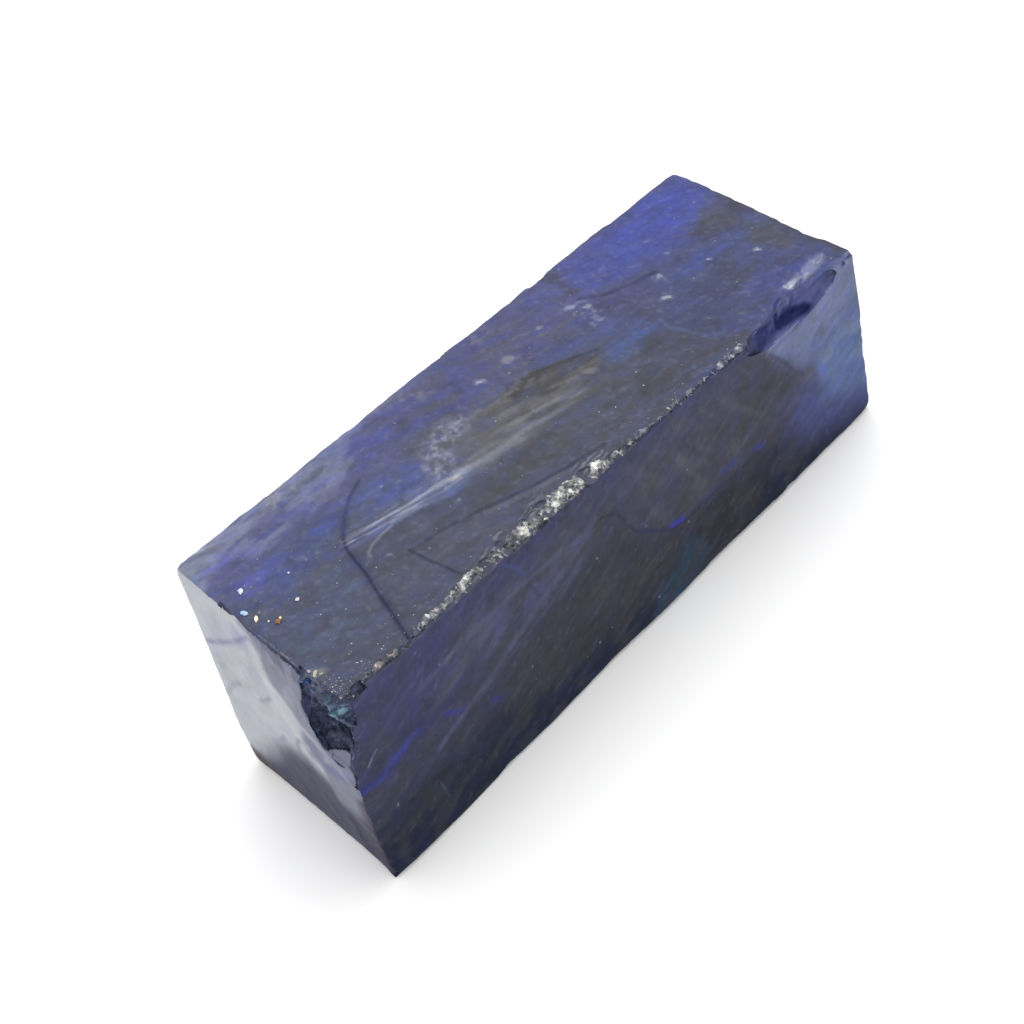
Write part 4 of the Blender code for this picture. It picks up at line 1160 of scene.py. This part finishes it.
# For each region: its paint, what this light adds to paint of 1.0 on it, and what the
# gloss adds by itself. The hollow is lit by which way each of its points faces.
Look = namedtuple("Look", "paint light gloss")
LOOKS = {
    TOP: Look(top_paint, 1.47, 0.018),
    FRONT: Look(front_paint, 1.18, 0.016),
    NEAR: Look(near_paint, 1.30, 0.08),
    FAR: Look(hidden_paint, 1.3, 0.018),
    BACK: Look(hidden_paint, 1.3, 0.018),
    BASE: Look(hidden_paint, 1.3, 0.018),
    CORNER: Look(corner_paint, 1.05, 0.008),
    HOLLOW: Look(hollow_paint, None, 0.012),
    FLAKES: Look(flakes_paint, 1.25, 0.03),
}
DARKEST = 0.003


def linear(srgb):
    """sRGB 0 to 255 as linear 0 to 1."""
    share = np.clip(srgb / 255.0, 0.0, 1.0)
    return np.where(share <= 0.04045, share / 12.92, ((share + 0.055) / 1.055) ** 2.4)


def corner_colours(surface):
    """The colour at each corner of each triangle, three rows for each."""
    colours = np.ones((len(surface.tris) * 3, 4), np.float32)
    normals = vertex_normals_of(surface.points, surface.tris)
    lights = rows([LOOKS[region].light for region in (NEAR, FRONT, TOP)])
    for region, look in LOOKS.items():
        faces = np.nonzero(surface.region == region)[0]
        corners = surface.tris[faces].ravel()
        used, back = np.unique(corners, return_inverse=True)
        light = look.light or (normals[used] ** 2 @ lights)[:, None]
        tint = (linear(look.paint(surface.points[used])) - look.gloss) / light
        places = (faces[:, None] * 3 + np.arange(3)).ravel()
        colours[places, :3] = np.clip(tint, DARKEST, 1.0)[back]
    return colours


# --- Materials -------------------------------------------------------------------------

class Nodes:
    """A material, and a short way to write its node tree."""

    def __init__(self, name, layer=None):
        self.material = bpy.data.materials.new(name)
        self.material.use_nodes = True
        self.tree = self.material.node_tree
        self.tree.nodes.clear()
        self.place = self.add("ShaderNodeTexCoord").outputs["Object"]
        if layer:
            self.paint = self.add("ShaderNodeVertexColor", layer_name=layer).outputs["Color"]

    def plug(self, socket, value):
        """Gives a socket a value, or links it from an output."""
        if isinstance(value, bpy.types.NodeSocket):
            self.tree.links.new(value, socket)
        else:
            socket.default_value = value

    def add(self, kind, inputs=None, **settings):
        """A new node. An input is a value, or the output that it is linked from."""
        node = self.tree.nodes.new(kind)
        for name, value in settings.items():
            setattr(node, name, value)
        for name, value in (inputs or {}).items():
            self.plug(node.inputs[name], value)
        return node

    def maths(self, operation, a, b):
        """The result of a sum on two numbers."""
        return self.add("ShaderNodeMath", {0: a, 1: b}, operation=operation).outputs[0]

    def cloud(self, scale, detail, roughness=0.5, place=None, output=0):
        """Soft noise, over the object or over another place."""
        sockets = {"Vector": place or self.place, "Scale": scale, "Detail": detail}
        sockets["Roughness"] = roughness
        return self.add("ShaderNodeTexNoise", sockets).outputs[output]

    def grey(self, value):
        """A number as a grey."""
        return self.add("ShaderNodeCombineColor", {0: value, 1: value, 2: value}).outputs[0]

    def first_of(self, colour):
        """The first channel of a colour."""
        return self.add("ShaderNodeSeparateColor", {0: colour}).outputs[0]

    def mixed(self, factor, a, b, blend="MIX"):
        """One colour over another."""
        node = self.add("ShaderNodeMix", data_type="RGBA", blend_type=blend)
        for name, value in (("Factor_Float", factor), ("A_Color", a), ("B_Color", b)):
            self.plug(next(s for s in node.inputs if s.identifier == name), value)
        return next(s for s in node.outputs if s.identifier == "Result_Color")

    def step(self, value, low, high, out_low=0.0, out_high=1.0):
        """A clamped ramp from low to high."""
        names = ("Value", "From Min", "From Max", "To Min", "To Max")
        sockets = dict(zip(names, (value, low, high, out_low, out_high)))
        return self.add("ShaderNodeMapRange", sockets, clamp=True).outputs[0]

    def finish(self, colour, roughness, specular, height=None, bump=()):
        """Ends the tree in a shader, with the bump as its strength and its distance."""
        sockets = {"Base Color": colour, "Roughness": roughness, "Specular IOR Level": specular}
        if height:
            strength, distance = bump
            bumps = {"Height": height, "Strength": strength, "Distance": distance}
            sockets["Normal"] = self.add("ShaderNodeBump", bumps).outputs[0]
        shader = self.add("ShaderNodeBsdfPrincipled", sockets)
        self.add("ShaderNodeOutputMaterial", {"Surface": shader.outputs[0]})
        return self.material


def sawn_material(name, roughness, specular, mottling):
    """Sawn stone: the painted colour with fine mottling, scratches and pale specks."""
    n = Nodes(name, "stone_paint")
    fine = n.cloud(2600.0, 4.0, 0.6)
    sockets = {"Vector": n.place, "Rotation": (0.0, 0.35, -0.2), "Scale": (0.12, 1.0, 1.0)}
    turn = n.add("ShaderNodeMapping", sockets).outputs[0]
    drawn = n.cloud(3600.0, 3.0, 0.6, place=turn)
    mottle = n.maths("ADD", fine, n.cloud(700.0, 3.0, 0.55))
    grain = n.step(mottle, 0.7, 1.3, 1.0 - mottling, 1.0 + mottling)
    colour = n.mixed(1.0, n.paint, n.grey(grain), "MULTIPLY")
    scratched = n.maths("MULTIPLY", n.step(drawn, 0.60, 0.78), 0.035)
    colour = n.mixed(scratched, colour, (0.34, 0.36, 0.42, 1.0))
    cells = n.add("ShaderNodeTexVoronoi", {"Vector": n.place, "Scale": 1500.0, "Randomness": 1.0})
    cluster = n.maths("MULTIPLY", n.cloud(260.0, 2.0), 0.16)
    rare = n.step(n.maths("ADD", n.first_of(cells.outputs["Color"]), cluster), 1.04, 1.06)
    round_speck = n.step(cells.outputs["Distance"], 0.20, 0.10)
    speck = n.maths("MULTIPLY", n.maths("MULTIPLY", rare, round_speck), 0.14)
    colour = n.mixed(speck, colour, (0.62, 0.66, 0.72, 1.0))
    height = n.maths("ADD", n.maths("MULTIPLY", drawn, 0.12), fine)
    return n.finish(colour, roughness, specular, height, (0.25, 0.00003))


# How bright the cells of broken stone are: from which random value, and the brightness as
# a base and what the contrast adds. The brightest cells are painted glints of facets that
# catch the light, and the darker ones painted shade.
CELL_STOPS = (
    (0.0, 0.6, 0.0), (0.22, 0.85, 0.0), (0.5, 1.0, 0.0), (0.82, 1.0, 0.5), (0.94, 1.0, 1.6),
)


def broken_material(name, cell, contrast, roughness, specular):
    """Broken stone: small cells of crystal, some painted darker as shade and some painted brighter
    as glints of facets that catch the light.
    """
    n = Nodes(name, "stone_paint")
    bent = n.cloud(2200.0, 2.0, output="Color")
    shift = n.add("ShaderNodeVectorMath", {0: bent, 1: (0.00025,) * 3}, operation="MULTIPLY")
    moved = n.add("ShaderNodeVectorMath", {0: n.place, 1: shift.outputs[0]}, operation="ADD")
    sockets = {"Vector": moved.outputs[0], "Scale": 1000.0 / cell}
    cells = n.add("ShaderNodeTexVoronoi", sockets, distance="CHEBYCHEV")
    ramp = n.add("ShaderNodeValToRGB", {0: n.first_of(cells.outputs["Color"])})
    ramp.color_ramp.interpolation = "CONSTANT"
    while len(ramp.color_ramp.elements) < len(CELL_STOPS):
        ramp.color_ramp.elements.new(0.5)
    for element, (position, base, added) in zip(ramp.color_ramp.elements, CELL_STOPS):
        value = base + added * contrast
        element.position = position
        element.color = (value, value, value, 1.0)
    colour = n.mixed(1.0, n.paint, ramp.outputs[0], "MULTIPLY")
    return n.finish(colour, roughness, specular, n.cloud(5200.0, 3.0), (0.5, 0.00008))


def grain_material():
    """Loose grains: their own tint, a little uneven."""
    n = Nodes("loose_grains", "grain_tint")
    grey = n.grey(n.step(n.cloud(6000.0, 2.0), 0.3, 0.7, 0.75, 1.15))
    return n.finish(n.mixed(1.0, n.paint, grey, "MULTIPLY"), roughness=0.45, specular=0.5)


def floor_material():
    """Plain white, with the faintest unevenness."""
    n = Nodes("white_floor")
    grey = n.grey(n.step(n.cloud(25.0, 2.0), 0.3, 0.7, 0.88, 0.90))
    return n.finish(grey, roughness=0.8, specular=0.1)


# --- The pieces ------------------------------------------------------------------------

FLOOR_HALF = 900.0
SURROUND_STRENGTH = 1.3
# The soft lamp, in metres and watts.
LAMP_PLACE = (0.22, 0.12, 0.42)
LAMP_SIZE = (0.5, 0.4)
LAMP_ENERGY = 0.9
# The camera: its place, the directions to its right, its top and its back, and its lens.
CAMERA_PLACE = (-60.518, -74.047, 99.957)
CAMERA_AXES = (
    (0.66541574, -0.72551823, -0.17562799),
    (0.60472171, 0.3859853, 0.69665415),
    (-0.43764547, -0.5697707, 0.69557731),
)
CAMERA_LENS = 67.71
CAMERA_SENSOR = 36.0


def linked(name, data):
    """A new object in the scene."""
    thing = bpy.data.objects.new(name, data)
    bpy.context.scene.collection.objects.link(thing)
    return thing


def new_mesh_object(name, points, faces):
    """An object whose mesh is stored in metres."""
    mesh = bpy.data.meshes.new(name)
    mesh.from_pydata((np.asarray(points) * MM).tolist(), [], np.asarray(faces).tolist())
    mesh.update()
    return linked(name, mesh)


def make_stone(node):
    """The visual stone: the CAD shape with fine relief and paint."""
    luck = np.random.default_rng(SEED)
    surface = Surface(*fine_copy(node.data))
    roughen_sawn(surface)
    undulate(surface, surface.inner_verts((HOLLOW,)))
    for region, size, tilt, depth in FACETS:
        break_into_facets(surface, surface.inner_verts((region,)), size, tilt, depth, luck)
    thing = new_mesh_object("stone", surface.points, surface.tris)
    mesh = thing.data
    for material in (
        sawn_material("sawn_face", 0.6, 0.1, mottling=0.135),
        sawn_material("polished_end", 0.45, 0.1, mottling=0.05),
        broken_material("broken_corner", 0.30, 0.5, 0.4, 0.12),
        sawn_material("smooth_break", 0.5, 0.1, mottling=0.06),
        broken_material("crushed_arris", 0.17, 0.6, 0.3, 0.3),
    ):
        mesh.materials.append(material)
    slots = {NEAR: 1, CORNER: 2, HOLLOW: 3, FLAKES: 4}
    material_index = np.array([slots.get(r, 0) for r in range(len(LOOKS))])[surface.region]
    mesh.polygons.foreach_set("material_index", material_index)
    mesh.polygons.foreach_set("use_smooth", np.isin(surface.region, (*SAWN, HOLLOW)))
    attribute = mesh.color_attributes.new("stone_paint", "FLOAT_COLOR", "CORNER")
    attribute.data.foreach_set("color", corner_colours(surface).ravel())
    return thing, surface


def make_floor():
    """A wide floor that the stone rests on."""
    corners = [(-1, -1, 0), (1, -1, 0), (1, 1, 0), (-1, 1, 0)]
    floor = new_mesh_object("floor", rows(corners) * FLOOR_HALF, [(0, 1, 2, 3)])
    floor.data.materials.append(floor_material())
    floor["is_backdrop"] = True


def make_light():
    """A bright white surround, and a soft lamp above and behind."""
    world = bpy.data.worlds.new("studio")
    world.use_nodes = True
    background = world.node_tree.nodes["Background"]
    background.inputs["Color"].default_value = (1.0, 1.0, 1.0, 1.0)
    background.inputs["Strength"].default_value = SURROUND_STRENGTH
    bpy.context.scene.world = world
    lamp = bpy.data.lights.new("soft_lamp", "AREA")
    lamp.shape = "RECTANGLE"
    lamp.size, lamp.size_y = LAMP_SIZE
    lamp.energy = LAMP_ENERGY
    holder = linked("soft_lamp", lamp)
    holder.location = LAMP_PLACE
    holder.rotation_euler = (-Vector(LAMP_PLACE)).to_track_quat("-Z", "Y").to_euler()
    bpy.context.scene.view_settings.view_transform = "Standard"


def make_camera():
    """The camera where the stone is seen from."""
    camera = bpy.data.cameras.new("camera")
    camera.lens = CAMERA_LENS
    camera.sensor_width = CAMERA_SENSOR
    camera.clip_start = 0.005
    camera.clip_end = 10.0
    holder = linked("camera", camera)
    matrix = Matrix(CAMERA_AXES).transposed().to_4x4()
    matrix.translation = Vector(CAMERA_PLACE) * MM
    holder.matrix_world = matrix
    bpy.context.scene.camera = holder


# --- Loose grains ----------------------------------------------------------------------

Grain = namedtuple("Grain", "x y length width tint")
# The grains that are large enough to stand out by themselves.
GRAINS = listed(
    Grain,
    (-22.95, 3.2, 0.50, 0.38, (215, 222, 235)), (-24.0, 1.75, 0.62, 0.34, (160, 188, 222)),
    (-23.85, 0.85, 0.58, 0.30, (216, 208, 190)), (-23.15, -0.42, 0.55, 0.38, (134, 92, 46)),
    (-22.9, -0.3, 0.26, 0.22, (214, 196, 160)), (-21.25, -0.08, 0.40, 0.30, (206, 200, 200)),
    (-24.60, -5.20, 0.46, 0.30, (164, 162, 150)), (-24.74, -4.80, 0.30, 0.24, (146, 146, 156)),
    (-24.42, -5.50, 0.34, 0.24, (150, 150, 142)), (-24.75, -5.30, 0.24, 0.2, (176, 174, 164)),
    (-20.1, 1.95, 0.2, 0.18, (180, 190, 214)), (-23.5, 0.1, 0.2, 0.16, (190, 180, 166)),
)
CRUMB_TINTS = (
    (150, 152, 150), (120, 124, 130), (70, 72, 78), (50, 52, 58), (166, 160, 148), (178, 180, 180),
)
DUST_TINTS = ((172, 176, 186), (156, 166, 178), (140, 158, 172), (176, 170, 160), (158, 150, 142))
DUST_COUNT = 150
CRUMB_COUNT = 90
# How much lower than wide a grain is, and how much of its width it stands out.
GRAIN_FLATNESS = 0.7
GRAIN_RISE = 0.2
# Grains drop onto the top from above it, and those that would land lower are left out.
DROP_FROM_Z = 30.0
LOWEST_LANDING_Z = 12.0


def grain_shape(length, width, luck):
    """The points and faces of one irregular grain."""
    bm = bmesh.new()
    bmesh.ops.create_icosphere(bm, subdivisions=1, radius=0.5)
    turn = luck.uniform(0.0, math.pi)
    c, s = math.cos(turn), math.sin(turn)
    points = []
    for vert in bm.verts:
        x, y, z = vert.co * luck.uniform(0.75, 1.15)
        x *= length
        y *= width
        points.append((x * c - y * s, x * s + y * c, z * width * GRAIN_FLATNESS))
    faces = [[v.index for v in f.verts] for f in bm.faces]
    bm.free()
    return np.array(points), np.array(faces)


def round_grain(x, y, size, tints, luck):
    """A small grain of about the same length and width."""
    return Grain(x, y, size, size * 0.8, luck.choice(tints))


def dust(luck):
    """Small grains strewn over the top, thicker at the near end and by the arris."""
    for _ in range(DUST_COUNT):
        if luck.random() < 0.55:
            x = -25.0 + abs(luck.gauss(0.0, 4.5))
            y = luck.uniform(-7.4, 5.0)
        else:
            x = luck.uniform(-24.5, 23.5)
            y = luck.uniform(-7.3, 7.2)
        if luck.random() < 0.35:
            y = -7.4 + abs(luck.gauss(0.0, 1.1))
        yield round_grain(x, y, 0.05 + 0.09 * luck.random() ** 3, DUST_TINTS, luck)


def corner_crumbs(luck):
    """Crumbs of broken stone on the top beside the near corner chip."""
    for _ in range(CRUMB_COUNT):
        x = -24.95 + abs(luck.gauss(0.0, 0.6))
        y = -6.6 + luck.gauss(0.0, 0.9)
        yield round_grain(x, y, 0.05 + 0.10 * luck.random() ** 2, CRUMB_TINTS, luck)


def make_grains(surface):
    """All loose grains as one piece, each sunk a little into the stone's top."""
    luck = random.Random(SEED)
    tree = BVHTree.FromPolygons([Vector(p) for p in surface.points], surface.tris.tolist())
    points, faces, tints = [], [], []
    count = 0
    for grain in [*GRAINS, *dust(luck), *corner_crumbs(luck)]:
        above = Vector((grain.x, grain.y, DROP_FROM_Z))
        landing, _, _, _ = tree.ray_cast(above, Vector((0, 0, -1)))
        if landing is None or landing.z < LOWEST_LANDING_Z:
            continue
        shape, sides = grain_shape(grain.length, grain.width, luck)
        points.append(shape + np.array(landing) + (0.0, 0.0, grain.width * GRAIN_RISE))
        faces.append(sides + count)
        tints.append(np.tile(linear(rows(grain.tint)), (len(shape), 1)))
        count += len(shape)
    thing = new_mesh_object("loose_grains", np.vstack(points), np.vstack(faces))
    thing.data.materials.append(grain_material())
    attribute = thing.data.color_attributes.new("grain_tint", "FLOAT_COLOR", "POINT")
    whole = np.hstack([np.vstack(tints), np.ones((count, 1))])
    attribute.data.foreach_set("color", whole.astype(np.float32).ravel())
    return thing


def build():
    """Makes everything that is shown."""
    noise.seed_set(SEED)
    stone, surface = make_stone(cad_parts[STONE])
    grains = make_grains(surface)
    for piece in (stone, grains):
        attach(piece, "root")
    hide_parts(STONE)
    make_floor()
    make_light()
    make_camera()


build()
boxes = {"cad": cad_box, "visual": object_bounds()}
{name: [list(corner) for corner in box] for name, box in boxes.items()}
